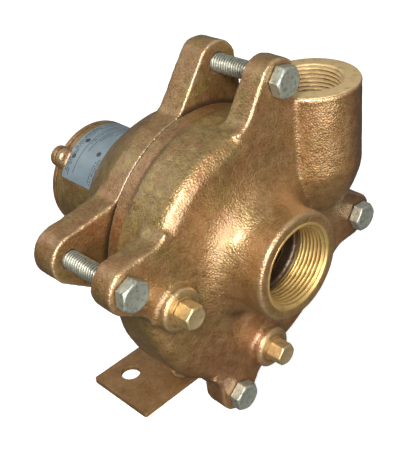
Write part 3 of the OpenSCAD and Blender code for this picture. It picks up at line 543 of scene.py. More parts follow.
# %% Relaxing, and how sharply the net bends
def points_of(mesh):
    return read_all(mesh.vertices, "co", 3).astype(float)


def normals_of(mesh):
    return read_all(mesh.vertex_normals, "vector", 3).astype(float)


def move_to(mesh, co):
    mesh.vertices.foreach_set("co", co.astype(np.float32).ravel())
    mesh.update()


def neighbour_mean(values, pairs, count):
    """Mean of each point's neighbours: sums over both ends of every edge, divided by how many."""
    total = np.zeros_like(values)
    for column in range(values.shape[1]):
        total[:, column] = np.bincount(pairs[:, 0], values[pairs[:, 1], column], len(values))
        total[:, column] += np.bincount(pairs[:, 1], values[pairs[:, 0], column], len(values))
    return total / count[:, None]


def relax(mesh, hold, rounds):
    """Each round moves a point towards its neighbours' mean by half, times 1 - hold."""
    co, pairs = points_of(mesh), read_all(mesh.edges, "vertices", 2, np.int32)
    count = np.bincount(pairs.ravel(), minlength=len(co)).astype(float)
    free = (0.5 * (1.0 - hold))[:, None]
    for _ in range(rounds):
        co += free * (neighbour_mean(co, pairs, count) - co)
    move_to(mesh, co)
    return co, pairs, count


BEND_UNIT = 0.025 * MM


def mark_bends(mesh, co, pairs, count):
    """Ridge and hollow of each point: how far its neighbours' mean lies inside or outside of it."""
    inside = co - neighbour_mean(co, pairs, count)
    bend = np.sum(inside * normals_of(mesh), axis=1)[:, None]
    for _ in range(2):
        bend = 0.5 * bend + 0.5 * neighbour_mean(bend, pairs, count)
    bend = bend[:, 0]
    for label, value in (("ridge", bend), ("hollow", -bend)):
        paint(mesh, label, (value / BEND_UNIT - 1.5) / 4.0)


def paint(mesh, name, share):
    """Keeps a number from 0 to 1 for each point, which the finish reads by this name."""
    layer = mesh.attributes.new(name, "FLOAT", "POINT")
    layer.data.foreach_set("value", np.clip(share, 0, 1).astype(np.float32))


# %% Lumps of a sand mould
def lumps(co, size, seed):
    """Smooth waves in many directions: sines with wavelengths near size, added up and divided by the
    root of their number."""
    chance = np.random.default_rng(seed)
    total = np.zeros(len(co))
    waves = 14
    for _ in range(waves):
        direction = chance.normal(size=3)
        direction /= np.linalg.norm(direction)
        wave = 2 * math.pi / (size * chance.uniform(0.7, 1.5))
        total += np.sin(co @ direction * wave + chance.uniform(0, 2 * math.pi))
    return total / math.sqrt(waves)


def push(mesh, co, amount):
    """Moves each point along its normal by an amount in metres."""
    co = co + normals_of(mesh) * amount[:, None]
    move_to(mesh, co)
    return co


def smooth_step(value, low, high):
    """0 below low, 1 above high and 3t^2 - 2t^3 between."""
    t = np.clip((value - low) / (high - low), 0, 1)
    return t * t * (3 - 2 * t)


# %% [markdown]
# ## The volute casing
#
# The casing is the pump's face: a drum that lies a little off the shaft, with the suction boss in
# front, the discharge boss at the right and four ears for the bolts. Its skin is relaxed all over,
# less at the mouths, which a cutter has faced, at the plugs' bosses and at the joint. Numbers painted
# by place say where the metal has gone olive or red, and where painted shade darkens it: deep in the
# bores, as the suction boss's shadow on the wall below it, and on the discharge boss's right flank.

# %% Casing
CUBE = 1.04 * MM
RELAX_ROUNDS = 8
CASING_SEED, FRAME_SEED = 3, 11
LONG_LUMP, SHORT_LUMP = 16 * MM, 7 * MM
DISCHARGE_BOSS_R = 25.5 * MM
THREAD_ROOM = 0.7 * MM
HAIR = 0.06 * MM
TOP_HOLD = (3.5 * MM, 1.5 * MM)
MOUTH_HOLD = (5 * MM, 2 * MM)
JOINT_HOLD = (2.5 * MM, 1.0 * MM)
PLUG_BOSS_HOLD = (1.5 * MM, 3 * MM)
PLUG_BOSS_R = 12.5 * MM
BORE_OUT, BORE_IN, BORE_LEAST, BORE_PAST = 1.2 * MM, 1.5 * MM, 2 * MM, 2.5 * MM


def round_suction(co):
    return np.hypot(co[:, 0], co[:, 2] - shaft_z)


def round_discharge(co):
    return np.hypot(co[:, 0] - discharge_x, co[:, 1] - discharge_y)


def casing_hold(co):
    """1 where the net holds still: at the two mouths, the plugs' bosses and the joint."""
    near_top = smooth_step(co[:, 2], discharge_top - TOP_HOLD[0], discharge_top - TOP_HOLD[1])
    near_top = near_top * (round_discharge(co) < DISCHARGE_BOSS_R + 2 * MM)
    near_mouth = smooth_step(-co[:, 1], -mouth_y - MOUTH_HOLD[0], -mouth_y - MOUTH_HOLD[1])
    near_joint = smooth_step(co[:, 1], joint_y - JOINT_HOLD[0], joint_y - JOINT_HOLD[1])
    near_boss = np.zeros(len(co))
    for low, high in (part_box("gauge_plug"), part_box("drain_plug")):
        off = np.hypot(co[:, 0] - (low.x + high.x) / 2, co[:, 2] - (low.z + high.z) / 2)
        proud = smooth_step(-co[:, 1], -front_y + PLUG_BOSS_HOLD[0], -front_y + PLUG_BOSS_HOLD[1])
        near_boss += (off < PLUG_BOSS_R) * proud
    return np.clip(0.93 * near_top + 0.55 * near_mouth + 0.75 * near_joint + 0.7 * near_boss, 0, 1)


def draw_back(co, r, bore_r, inside, columns, centre):
    """Widens a bore by THREAD_ROOM: both columns of its wall's points grow about the centre."""
    near = inside & (r < bore_r + BORE_OUT) & (r > bore_r - BORE_IN)
    wider = np.where(near, (bore_r + THREAD_ROOM) / np.maximum(r, bore_r - BORE_LEAST), 1.0)
    for column, middle in zip(columns, centre):
        co[:, column] = middle + (co[:, column] - middle) * wider


def open_bores(mesh, co):
    """Draws both threaded bores back, and the mouths by a hair, to make room for the cut threads."""
    r, s = round_suction(co), round_discharge(co)
    inside = co[:, 1] < mouth_y + thread_len + BORE_PAST
    draw_back(co, r, suction_r, inside, (0, 2), (0, shaft_z))
    inside = co[:, 2] > discharge_top - thread_len - BORE_PAST
    draw_back(co, s, discharge_r, inside, (0, 1), (discharge_x, discharge_y))
    co[:, 1] = np.maximum(co[:, 1], mouth_y + HAIR)
    boss = s < DISCHARGE_BOSS_R + 1.0 * MM
    co[boss, 2] = np.minimum(co[boss, 2], discharge_top - HAIR)
    move_to(mesh, co)
    return co


def cast_skin(piece, hold_of, seed, lump=0.10 * MM):
    """Wraps a piece again, relaxes it, marks its bends and gives it the lumps of the mould."""
    mesh = wrapped_again(piece, CUBE)
    hold = hold_of(points_of(mesh))
    co, pairs, count = relax(mesh, hold, RELAX_ROUNDS)
    mark_bends(mesh, co, pairs, count)
    sway = lumps(co, LONG_LUMP, seed) + 0.5 * lumps(co, SHORT_LUMP, seed + 1)
    co = push(mesh, co, (sway - 1.2) * lump * (1 - hold))
    print(piece.name, "has", len(mesh.polygons), "faces")
    return mesh, co


# %% Tints of the casing
# Each pair is where a tint starts to rise or fall and where it has done so, smoothly between.
BARREL_RISE, BARREL_FALL = (61 * MM, 66 * MM), (74 * MM, 84 * MM)
BEHIND_WALL = (-66 * MM, -60 * MM)
RIM_START = (-42 * MM, -39 * MM)
JOINT_EDGE = (64.5 * MM, 67 * MM)
BOSS_EDGE = (27 * MM, 31 * MM)
FLANK = (0.75, -0.66)
FLANK_OUT = (13 * MM, 25 * MM)
RIGHT_SIDE = (66 * MM, 78 * MM)
LOW_WALL = (50 * MM, 75 * MM)
BOSS_SHADOW_RISE, BOSS_SHADOW_FALL = (28.5 * MM, 31 * MM), (33 * MM, 38 * MM)
BOSS_SHADOW_DROP = (17 * MM, 26 * MM)
THROAT_ABOVE_SHAFT = 30 * MM
BORE_ROOM = 2 * MM


def tint_casing(mesh, co):
    """Paints where the casing is olive, red and near its joint line, and where painted shade darkens it."""
    r, x, y, z = round_suction(co), co[:, 0], co[:, 1], co[:, 2]
    on_barrel = smooth_step(r, *BARREL_RISE) * (1 - smooth_step(r, *BARREL_FALL))
    ahead_of_rim = 1 - smooth_step(y, *RIM_START)
    paint(mesh, "olive", 0.25 + 0.75 * on_barrel * smooth_step(y, *BEHIND_WALL) * ahead_of_rim)
    flank_out = (x - discharge_x) * FLANK[0] + (y - discharge_y) * FLANK[1]
    on_boss = 1 - smooth_step(round_discharge(co), *BOSS_EDGE)
    right = np.maximum(smooth_step(x, *RIGHT_SIDE), on_boss * smooth_step(flank_out, *FLANK_OUT))
    low = 1 - smooth_step(z, *LOW_WALL)
    paint(mesh, "red", 0.2 + 0.9 * right + 0.30 * low + 0.12 * (1 - ahead_of_rim))
    paint(mesh, "joint", 1 - smooth_step(r, *JOINT_EDGE))
    in_bore = (r < suction_r + BORE_ROOM) & (y > mouth_y + thread_len - BORE_ROOM)
    in_mouth = (round_discharge(co) < discharge_r + BORE_ROOM) & (z > shaft_z + THROAT_ABOVE_SHAFT)
    in_mouth &= z < discharge_top - thread_len + BORE_ROOM
    # Painted shadow of the suction boss on the wall below it.
    boss_shadow = smooth_step(r, *BOSS_SHADOW_RISE) * (1 - smooth_step(r, *BOSS_SHADOW_FALL))
    boss_shadow *= smooth_step(shaft_z - z, *BOSS_SHADOW_DROP)
    # Painted shade: deep in the bores, the suction boss's shadow, and the right flank of the discharge boss.
    paint(mesh, "shade", 1.0 * (in_bore | in_mouth) + 0.85 * boss_shadow + 0.55 * right)


casing = merged_copy("volute_casing", "casing_skin")
casing_mesh, casing_co = cast_skin(casing, casing_hold, CASING_SEED)
casing_co = open_bores(casing_mesh, casing_co)
tint_casing(casing_mesh, casing_co)
casing_mesh.materials.clear()
casing_mesh.materials.append(bronze_casing)
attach(casing, "housing")
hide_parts("volute_casing")

# %% [markdown]
# ## The bearing frame, its cover and the foot
#
# The frame is cast too, from the flange with its ears back to the round bearing housing and down to
# the pedestal. The foot is a sheared plate, so it keeps its flat faces and gets small rounded edges.

# %% Bearing frame
HOUSING_OLIVE = (-22 * MM, 0.0)
END_HOLD = 1.0 * MM


def frame_hold(co):
    """1 where the net holds still: at the joint and at the bearing's end."""
    near_joint = smooth_step(-co[:, 1], -joint_y - JOINT_HOLD[0], -joint_y - JOINT_HOLD[1])
    near_end = smooth_step(co[:, 1], cover_front_y - END_HOLD, cover_front_y + END_HOLD)
    return np.clip(0.75 * near_joint + 0.8 * near_end, 0, 1)


skin = merged_copy("bearing_frame", "frame_skin")
skin_mesh, skin_co = cast_skin(skin, frame_hold, FRAME_SEED)
paint(skin_mesh, "olive", 0.35 + 0.6 * smooth_step(skin_co[:, 1], *HOUSING_OLIVE))
paint(skin_mesh, "red", np.full(len(skin_co), 0.3))
paint(skin_mesh, "joint", 1 - smooth_step(round_suction(skin_co), *JOINT_EDGE))
skin_mesh.materials.clear()
skin_mesh.materials.append(bronze_frame)
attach(skin, "housing")
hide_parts("bearing_frame")


# %% Edges of sheared and turned pieces
FOOT_EDGE, COVER_EDGE = 0.45 * MM, 0.4 * MM


def soft_edges(piece, width, angle=35, segments=2):
    """A small bevel on every edge that bends by more than the angle; the rest stays smooth."""
    bevel = piece.modifiers.new("edges", "BEVEL")
    bevel.width = width
    bevel.segments = segments
    bevel.limit_method = "ANGLE"
    bevel.angle_limit = math.radians(angle)
    bevel.harden_normals = False
    piece.data.set_sharp_from_angle(angle=math.radians(angle))
    return piece


foot = soft_edges(merged_copy("foot_plate", "foot_skin"), FOOT_EDGE)
foot.data.materials.append(bronze_plate)
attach(foot, "housing")
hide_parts("foot_plate")
cover = soft_edges(merged_copy("bearing_cover", "cover_skin"), COVER_EDGE)
cover.data.materials.append(bronze_frame)
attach(cover, "housing")
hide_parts("bearing_cover")

# %% [markdown]
# ## Grids, lathes and threads
#
# A turned shape is a profile carried round an axis. Its surface is a function of two numbers: where
# on the profile a point lies, and the angle round the axis. The backdrop, which keeps the ground pale
# in views from the side, is the first piece made so. A thread is the same surface with a radius that
# rises and falls along the axis, and whose phase shifts by one pitch per turn.

# %% Surfaces from grids
def grid_faces(rows, columns, wrap):
    """Four-cornered faces of a grid of points, closed across its columns where wrap is true."""
    r, c = np.meshgrid(np.arange(rows - 1), np.arange(columns if wrap else columns - 1), indexing="ij")
    after = (c + 1) % columns
    a, b = r * columns + c, r * columns + after
    return np.stack([a, b, b + columns, a + columns], -1).reshape(-1, 4)


def directions(axis):
    """The axis and two directions square to it; no axis here lies near X, so the first one is X."""
    axis = np.array(axis, float)
    side = np.array([1.0, 0.0, 0.0])
    return axis, side, np.cross(axis, side)


def turned_points(radius, along, origin, axis, angle):
    """Points at origin + along * axis + radius * (cos t, sin t) across it; radius and along are grids."""
    axis, side, across = directions(axis)
    spoke = np.cos(angle)[..., None] * side + np.sin(angle)[..., None] * across
    return np.array(origin) + along[..., None] * axis + radius[..., None] * spoke


def full_turn(columns):
    """Angles of the columns of a closed grid."""
    return np.linspace(0, 2 * math.pi, columns, endpoint=False)


def profile_grids(profile, columns):
    """A list of (radius, along) as two grids, each row the same all round."""
    return (np.repeat(column[:, None], columns, 1) for column in np.array(profile, float).T)


def turned_profile(profile, origin, axis, columns):
    radius, along = profile_grids(profile, columns)
    angle = np.broadcast_to(full_turn(columns), radius.shape)
    return turned_points(radius, along, origin, axis, angle)


def joined(*grids):
    """Points and faces of closed grids, one after the other, as one mesh."""
    starts = np.cumsum([0] + [grid.shape[0] * grid.shape[1] for grid in grids])
    faces = [grid_faces(*grid.shape[:2], True) + start for grid, start in zip(grids, starts)]
    return np.vstack([grid.reshape(-1, 3) for grid in grids]), np.vstack(faces)


def lathe(name, profile, origin, axis, columns):
    """Turns a list of (radius, along) round an axis; the profile runs so that faces point outwards."""
    return finished(name, *joined(turned_profile(profile, origin, axis, columns)))


def finished(name, points, faces, angle=35, groove=None):
    """A mesh object with doubles merged and sharp edges kept; groove, if given, paints shade in the roots."""
    first, back = same_points(points, 0.0005 * MM)
    faces = back[faces]
    rows = [[v for i, v in enumerate(row) if v != row[i - 1]] for row in faces.tolist()]
    rows = [row for row in rows if len(set(row)) == len(row) > 2]
    mesh = bpy.data.meshes.new(name)
    mesh.from_pydata(points[first].tolist(), [], rows)
    mesh.shade_smooth()
    mesh.set_sharp_from_angle(angle=math.radians(angle))
    if groove is not None:
        paint(mesh, "groove", groove[first])
    return put(name, mesh)


# %% Backdrop
SWEEP_FROM, SWEEP_RISE = 1.55, 1.3


def backdrop():
    """A pale sheet round the floor: a quarter circle up from just inside the floor's edge, then a wall."""
    turn = np.linspace(0, math.pi / 2, 17)
    curve = [(SWEEP_FROM + SWEEP_RISE * math.sin(t), SWEEP_RISE * (1 - math.cos(t))) for t in turn]
    sheet = lathe("backdrop", curve + [(SWEEP_FROM + SWEEP_RISE, 2.5 * SWEEP_RISE)], (0, 0, 0), (0, 0, 1), 96)
    sheet.data.materials.append(floor_white)
    sheet.visible_glossy = sheet.visible_diffuse = sheet.visible_shadow = False
    return sheet


print("backdrop has", len(backdrop().data.polygons), "faces")


# %% Threads
def thread_wave(phase):
    """A pipe thread's outline over one pitch, 0 at the root and 1 at the crest, with small flats."""
    saw = np.abs((phase % 1.0) * 2 - 1)
    return np.clip((saw - 0.08) / 0.84, 0, 1)


PORT_PITCH = 25.4 / 11.5 * MM
PORT_HEIGHT = 1.5 * MM
PORT_DEPTH = thread_len + 1.5 * MM
PORT_ROWS_PER_PITCH = 14
CHAMFER = 0.5 * MM
TAPER = 1 / 32
LIP = [(0.0, 0.35 * MM), (0.2 * MM, 0.06 * MM), (0.4 * MM, 0.0)]
PORT_HAIR = 0.02 * MM
SUCTION_FACE = 1.7 * MM
DISCHARGE_FACE = 0.55 * MM


def threaded_port(name, mouth_r, origin, axis, face_r, finish, columns=144):
    """Inside of a port: a flat face, a chamfer, and a thread whose radius is
    mouth_r - PORT_HEIGHT * wave(along / pitch - angle / turn), faded out over its last two pitches.
    along counts inwards from the mouth, so axis points into the metal."""
    depth, pitch = PORT_DEPTH, PORT_PITCH
    s = np.linspace(0, depth, int(depth / pitch * PORT_ROWS_PER_PITCH))
    angle = full_turn(columns)
    grid_s, grid_a = np.meshgrid(s, angle, indexing="ij")
    fade = 1 - smooth_step(grid_s, depth - 2.2 * pitch, depth - 0.2 * pitch)
    taper = grid_s * TAPER
    wave = thread_wave(grid_s / pitch - grid_a / (2 * math.pi))
    radius = mouth_r - taper - PORT_HEIGHT * wave * (0.15 + 0.85 * fade)
    chamfer = mouth_r + CHAMFER - grid_s
    radius = np.maximum(radius, chamfer)
    lip = [(face_r - inwards, sunk) for inwards, sunk in LIP] + [(mouth_r + CHAMFER, 0.0)]
    lip_r, lip_s = profile_grids(lip, columns)
    # Painted shade: the thread's roots, darker still towards the bore's deep end.
    root = np.where(radius > chamfer + 0.1 * MM, 1 - wave, 0.0) ** 2 * fade
    root = np.vstack([np.zeros_like(lip_r), 0.55 * root + smooth_step(grid_s, 0.75 * depth, depth) * 0.4])
    radius, along = np.vstack([lip_r, radius]), np.vstack([lip_s, grid_s])
    points = turned_points(radius, along, origin, axis, np.broadcast_to(angle, radius.shape))
    piece = finished(name, *joined(points), groove=root.ravel())
    piece.data.materials.append(finish)
    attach(piece, "housing")
    return piece


threaded_port("suction_thread", suction_r, (0, mouth_y + PORT_HAIR, shaft_z), (0, 1, 0),
              suction_r + SUCTION_FACE, cut_bronze_suction)
threaded_port("discharge_thread", discharge_r, (discharge_x, discharge_y, discharge_top - PORT_HAIR),
              (0, 0, -1), DISCHARGE_BOSS_R - DISCHARGE_FACE, cut_bronze_discharge)
print("thread pitch", round(PORT_PITCH / MM, 3), "mm")

# %% [markdown]
# ## Bolts and plugs
#
# The bolts are plain hexagon cap screws with a washer face, a chamfered head and a rolled thread that
# shows between the ears. A hexagon whose corners are slightly rounded catches the light as a forged
# head does. The plugs' heads are the same shape in brass, and each stands on a turned ring.

# %% Hexagon heads
HEX_SIDES = 6


def hexagon(flats, corner, arc=4):
    """Outline of a hexagon of this width across flats, each corner an arc of the given radius."""
    reach = flats / 2 / math.cos(math.pi / 6)
    centre = reach - corner / math.cos(math.pi / 6)
    side = np.arange(HEX_SIDES)[:, None] * math.pi / 3
    turn = side + np.linspace(-math.pi / 6, math.pi / 6, arc)[None, :]
    x = centre * np.cos(side) + corner * np.cos(turn)
    y = centre * np.sin(side) + corner * np.sin(turn)
    fine = np.stack([x.ravel(), y.ravel()], -1)
    between = np.linspace(0, 1, 5)[:-1]
    after = np.roll(fine, -1, axis=0)
    sides = fine[:, None] * (1 - between[None, :, None]) + after[:, None] * between[None, :, None]
    return sides.reshape(-1, 2)


FLAT_TOP_SHARE = 0.93
DISH_SHARES = (0.82, 0.93)
DISH_DEPTHS = (0.18 * MM, 0.15 * MM)
WASHER_FACE = 0.35 * MM
CORNER_FALL = math.tan(math.radians(30))


def hex_head_rows(flats, height, corner, base_r):
    """Rows of (x, y, along) from the middle of the top to the washer face; along counts from the base."""
    outline = hexagon(flats, corner)
    reach = np.hypot(outline[:, 0], outline[:, 1])
    spoke = outline / reach[:, None]
    flat_r = flats / 2 * FLAT_TOP_SHARE
    drop = np.maximum(reach - flat_r, 0) * CORNER_FALL
    lip = WASHER_FACE

    def row(radius, along):
        radius = np.broadcast_to(radius, reach.shape)
        along = np.broadcast_to(along, reach.shape)
        return np.column_stack([spoke * radius[:, None], along])

    return np.array([
        row(0.0, height - DISH_DEPTHS[0]), row(flat_r * DISH_SHARES[0], height - DISH_DEPTHS[1]),
        row(flat_r * DISH_SHARES[1], height),
        row(flat_r, height), row(reach - 0.12 * MM, height - drop + 0.05 * MM),
        row(reach, height - drop - 0.12 * MM),
        row(reach, lip + 0.1 * MM), row(reach - 0.1 * MM, lip), row(base_r, lip), row(base_r, 0.0),
    ])


def placed(rows, origin, axis, turn):
    """Rows of (x, y, along) put at an origin along an axis of the frame, turned about it."""
    axis, side, across = directions(axis)
    x = rows[..., 0] * math.cos(turn) - rows[..., 1] * math.sin(turn)
    y = rows[..., 0] * math.sin(turn) + rows[..., 1] * math.cos(turn)
    return np.array(origin) + x[..., None] * side + y[..., None] * across + rows[..., 2:] * axis


def flip(faces):
    return faces[:, ::-1]


# %% Bolts
BOLT_R = 4.76 * MM
BOLT_PITCH = 25.4 / 16 * MM
BOLT_FLATS = 14.3 * MM
BOLT_HEAD = 6 * MM
BOLT_CIRCLE_R = 84 * MM
BOLT_TURN = math.radians(15)
BOLT_CORNER = 0.5 * MM
BOLT_BASE_R = BOLT_FLATS / 2 - 0.3 * MM
BOLT_THREAD = 0.85 * MM
BOLT_THREAD_FROM = (8 * MM, 9 * MM)
BOLT_TIP = 0.6 * MM
BOLT_HAIR = 0.02 * MM
BOLT_COLUMNS = 40
BOLT_ROWS_PER_PITCH = 10
HEAD_TURNS = [math.radians(t) for t in (12, 38, 22, 4)]
bolt_front = float(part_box("casing_bolts")[0].y)
bolt_back = float(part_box("casing_bolts")[1].y)


def bolt(name, angle, turn):
    """One bolt: a head at the front and a shank, plain just under the head and threaded from there."""
    x, z = BOLT_CIRCLE_R * math.cos(angle), shaft_z + BOLT_CIRCLE_R * math.sin(angle)
    head_rows = hex_head_rows(BOLT_FLATS, BOLT_HEAD, BOLT_CORNER, BOLT_BASE_R)
    head = placed(head_rows, (x, bolt_front + BOLT_HEAD, z), (0, -1, 0), turn)
    length = bolt_back - bolt_front - BOLT_HEAD / 2
    s = np.linspace(0, length, int(length / BOLT_PITCH * BOLT_ROWS_PER_PITCH))
    grid_s, grid_a = np.meshgrid(s, full_turn(BOLT_COLUMNS), indexing="ij")
    start = smooth_step(grid_s, *BOLT_THREAD_FROM)
    wave = thread_wave(grid_s / BOLT_PITCH - grid_a / (2 * math.pi))
    radius = (BOLT_R - BOLT_HAIR) - BOLT_THREAD * start * (1 - wave)
    radius = np.minimum(radius, BOLT_R - BOLT_TIP + (length - grid_s))
    radius[-1] = 0.0
    grid_s[-1] = grid_s[-2]
    shank = turned_points(radius, grid_s, (x, bolt_front + BOLT_HEAD / 2, z), (0, 1, 0), grid_a)
    # Painted shade in the roots of the bolt's thread.
    root = np.concatenate([np.zeros(head[..., 0].size), (start * (1 - wave)).ravel()])
    piece = finished(name, *joined(head, shank), groove=root)
    piece.data.materials.append(zinc_plate)
    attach(piece, "housing")
    return piece


for k, head_turn in enumerate(HEAD_TURNS):
    bolt(f"bolt_{k + 1}", math.pi / 2 - BOLT_TURN + k * math.pi / 2, -head_turn)
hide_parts("casing_bolts")


# %% Pipe plugs
PLUG_FLATS = 11.1 * MM
PLUG_HEAD = 9 * MM
PLUG_STEM_R = 6.5 * MM
PLUG_STEM_END_R = 6 * MM
STEM_CHAMFER = 0.5 * MM
STEM_COLUMNS = 40
PLUG_CORNER = 0.7 * MM
PLUG_BASE_R = PLUG_FLATS / 2 - 0.2 * MM


def pipe_plug(node, name, turn):
    """A plug with a hexagon head and a short plain stem that its bore hides, in its node's place."""
    low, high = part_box(node)
    x, z = (low.x + high.x) / 2, (low.z + high.z) / 2
    rows = hex_head_rows(PLUG_FLATS, PLUG_HEAD, PLUG_CORNER, PLUG_BASE_R)
    head = placed(rows, (x, low.y + PLUG_HEAD, z), (0, -1, 0), turn)
    stem_len = high.y - low.y - PLUG_HEAD
    profile = [(0.0, 0.0), (PLUG_STEM_R, 0.0), (PLUG_STEM_R, stem_len - STEM_CHAMFER),
               (PLUG_STEM_END_R, stem_len), (0.0, stem_len)]
    stem = turned_profile(profile, (x, low.y + PLUG_HEAD, z), (0, 1, 0), STEM_COLUMNS)
    piece = finished(name, *joined(head, stem))
    piece.data.materials.append(plug_brass)
    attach(piece, "housing")
    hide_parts(node)
    return piece


pipe_plug("gauge_plug", "left_plug", -math.radians(18))
pipe_plug("drain_plug", "bottom_plug", -math.radians(8))


# %% Turned faces of the plugs' bosses
RING_PROFILE = [(10.4, 0.50), (10.1, 0.12), (9.8, 0.0), (8.6, 0.0), (8.4, 0.18), (6.9, 0.18), (6.7, 0.0),
                (4.8, 0.0)]
RING_COLUMNS = 96


def spot_face(node, name):
    """The turned face of a plug's boss: a flat ring with a shallow groove, a hair proud of the boss."""
    low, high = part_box(node)
    x, z = (low.x + high.x) / 2, (low.z + high.z) / 2
    profile = [(r * MM, a * MM) for r, a in RING_PROFILE]
    ring = lathe(name, profile, (x, low.y + PLUG_HEAD - HAIR, z), (0, 1, 0), RING_COLUMNS)
    ring.data.materials.append(worn_face)
    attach(ring, "housing")
    return ring


spot_face("gauge_plug", "left_boss_face")
spot_face("drain_plug", "bottom_boss_face")

# %% [markdown]
# ## Cover screws
#
# The three screws of the rear cover have low round heads with a slot, too small to matter from the
# front but seen from behind.

# %% Screws of the rear cover
SCREW_HEAD_R = 3.6 * MM
SCREW_HEAD = 2.6 * MM
SCREW_CIRCLE_R = 31 * MM
SCREW_ANGLE = math.radians(136)
SCREW_SINK = 3.4 * MM
SCREW_DOME = 1.2 * MM
SCREW_COLUMNS = 72
TOP_ROWS, SIDE_ROWS = 26, 6
SLOT_HALF = 0.55 * MM
SLOT_EDGE = 0.08 * MM
SLOT_DEPTH = 1.1 * MM
SLOT_TURNS = (0.4, 1.3, 2.2)
screw_seat = float(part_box("cover_screws")[1].y) - SCREW_SINK


def cover_screw(name, angle, slot_turn):
    """A head whose top falls with the square of the radius, its slot a trough across the top."""
    x, z = SCREW_CIRCLE_R * math.cos(angle), shaft_z + SCREW_CIRCLE_R * math.sin(angle)
    share = np.concatenate([np.linspace(0, 1, TOP_ROWS), np.ones(SIDE_ROWS)])
    grid_t, grid_a = np.meshgrid(share, full_turn(SCREW_COLUMNS), indexing="ij")
    radius = SCREW_HEAD_R * grid_t
    dome = SCREW_HEAD - SCREW_DOME * grid_t ** 2
    across = np.abs(radius * np.sin(grid_a - slot_turn))
    trough = smooth_step(-across, -SLOT_HALF - SLOT_EDGE, -SLOT_HALF + SLOT_EDGE)
    height = dome - SLOT_DEPTH * trough
    fall = np.linspace(0, 1, SIDE_ROWS + 1)[1:]
    height[-SIDE_ROWS:] = (1 - fall[:, None]) * height[TOP_ROWS - 1]
    points = turned_points(radius, height, (x, screw_seat, z), (0, 1, 0), grid_a)
    piece = finished(name, points.reshape(-1, 3), flip(grid_faces(*height.shape, True)))
    piece.data.materials.append(zinc_plate)
    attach(piece, "housing")
    return piece


for k, slot_turn in enumerate(SLOT_TURNS):
    cover_screw(f"cover_screw_{k + 1}", SCREW_ANGLE + k * 2 * math.pi / 3, slot_turn)
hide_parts("cover_screws")

# %% [markdown]
# ## The label
#
# A thin printed film wraps the left and top of the bearing housing. The real one carries words, which
# are left off: rows of plain bars and three dots keep its grey, busy look. The film's own two
# directions, round the housing and along it, are kept in a UV map, so the bars follow its curve.

# %% Label
label_low, label_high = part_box("name_label")
HOUSING_R = 32 * MM
LABEL_T = 0.30 * MM
LABEL_SUNK = 0.1 * MM
LABEL_FROM, LABEL_TO = math.radians(62), math.radians(154)
LABEL_CORNER = 1.2 * MM
LABEL_ROWS = [
    (0.945, 0.016, 0.10, 0.96, False), (0.895, 0.016, 0.28, 0.94, False), (0.845, 0.016, 0.12, 0.96, False),
    (0.700, 0.010, 0.15, 0.92, True), (0.640, 0.014, 0.10, 0.55, False), (0.560, 0.010, 0.08, 0.64, True),
    (0.500, 0.014, 0.06, 0.48, False), (0.430, 0.014, 0.05, 0.38, False), (0.360, 0.014, 0.06, 0.34, False),
    (0.200, 0.016, 0.70, 0.95, False), (0.140, 0.016, 0.66, 0.97, False), (0.080, 0.016, 0.60, 0.95, False),
]
LABEL_DOTS = [(0.86, 0.74), (0.80, 0.52), (0.26, 0.62)]
DOT_EDGE = (0.026, 0.034)
ROW_END = 0.01
FILM_SHAPE = 0.53
PAPER, PAPER_PALE, INK = rgb(0.17, 0.225, 0.25), rgb(0.24, 0.30, 0.325), rgb(0.03, 0.035, 0.04)


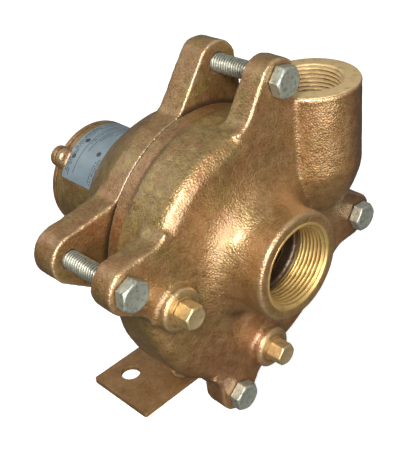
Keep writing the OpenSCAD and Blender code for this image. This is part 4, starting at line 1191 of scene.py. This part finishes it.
def label_film():
    """A sheet of radius HOUSING_R + LABEL_T whose angle and length two shares span; its ends are pulled
    in to round the corners."""
    along_n, round_n = 60, 120
    u, v = np.meshgrid(np.linspace(0, 1, along_n), np.linspace(0, 1, round_n), indexing="ij")
    length = label_high.y - label_low.y
    arc = (LABEL_TO - LABEL_FROM) * HOUSING_R
    end = np.minimum(v, 1 - v) * arc
    inset = LABEL_CORNER - np.sqrt(np.maximum(LABEL_CORNER ** 2 - np.maximum(LABEL_CORNER - end, 0) ** 2, 0))
    y = label_low.y + inset + u * (length - 2 * inset)
    angle = LABEL_FROM + v * (LABEL_TO - LABEL_FROM)
    layers = []
    for radius in (HOUSING_R + LABEL_T, HOUSING_R - LABEL_SUNK):
        layers.append(np.stack([radius * np.cos(angle), y, shaft_z + radius * np.sin(angle)], -1))
    top, under = layers
    count = along_n * round_n
    faces = grid_faces(along_n, round_n, False)
    rim = np.concatenate([np.arange(round_n), np.arange(1, along_n) * round_n + round_n - 1,
                          count - 2 - np.arange(round_n - 1), (np.arange(along_n - 2, 0, -1)) * round_n])
    rim_next = np.roll(rim, -1)
    walls = np.stack([rim, rim + count, rim_next + count, rim_next], -1)
    all_faces = np.vstack([flip(faces), faces + count, flip(walls)])
    mesh = bpy.data.meshes.new("label_film")
    mesh.from_pydata(np.vstack([top.reshape(-1, 3), under.reshape(-1, 3)]).tolist(), [], all_faces.tolist())
    mesh.validate()
    mesh.shade_smooth()
    mesh.set_sharp_from_angle(angle=math.radians(40))
    share = np.stack([u.ravel(), v.ravel()], -1)
    share = np.vstack([share, share])
    corner = read_all(mesh.loops, "vertex_index", 1, np.int32).ravel()
    uv = mesh.uv_layers.new(name="film")
    uv.data.foreach_set("uv", share[corner].astype(np.float32).ravel())
    return put("label_film", mesh)


def film_finish():
    """Pale blue-grey film, with rows of short dark bars and three dots as plain filler."""
    f = Finish("label_print", roughness=0.45, coat_weight=0.2, coat_roughness=0.3)
    where = f.node("UVMap", {"uv_map": "film"})
    u = f.node("SeparateXYZ", None, {0: where})
    v = f.node("SeparateXYZ", None, {0: where}, out=1)
    stretched = f.node("Mapping", None, {"Vector": where, "Scale": (9.0, 70.0, 1.0)})
    dashes = f.node("TexNoise", {"noise_dimensions": "2D"},
                    {"Vector": stretched, "Scale": 1.0, "Detail": 1.0}).step(0.40, 0.50)
    ink = u * 0.0
    for at_u, half, from_v, to_v, solid in LABEL_ROWS:
        row = 1 - (u - at_u).size().step(half * 0.8, half * 1.2)
        row = row * v.step(from_v, from_v + ROW_END) * (1 - v.step(to_v - ROW_END, to_v))
        ink = ink.maths("MAXIMUM", ink, row if solid else row * dashes)
    ink = ink * 0.85
    for at_u, at_v in LABEL_DOTS:
        du, dv = (u - at_u) * FILM_SHAPE, v - at_v
        square = du * du + dv * dv
        far = square.maths("SQRT", square)
        ink = ink.maths("MAXIMUM", ink, 1 - far.step(*DOT_EDGE))
    cloud = f.noise(9 * MM, 3.0)
    colour = f.mix(ink, f.mix(cloud.step(0.35, 0.7) * 0.6, PAPER, PAPER_PALE), INK)
    return f.use(base_color=colour, normal=f.bump(cloud, 0.02 * MM)).material


film = label_film()
film.data.materials.append(film_finish())
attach(film, "housing")
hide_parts("name_label")
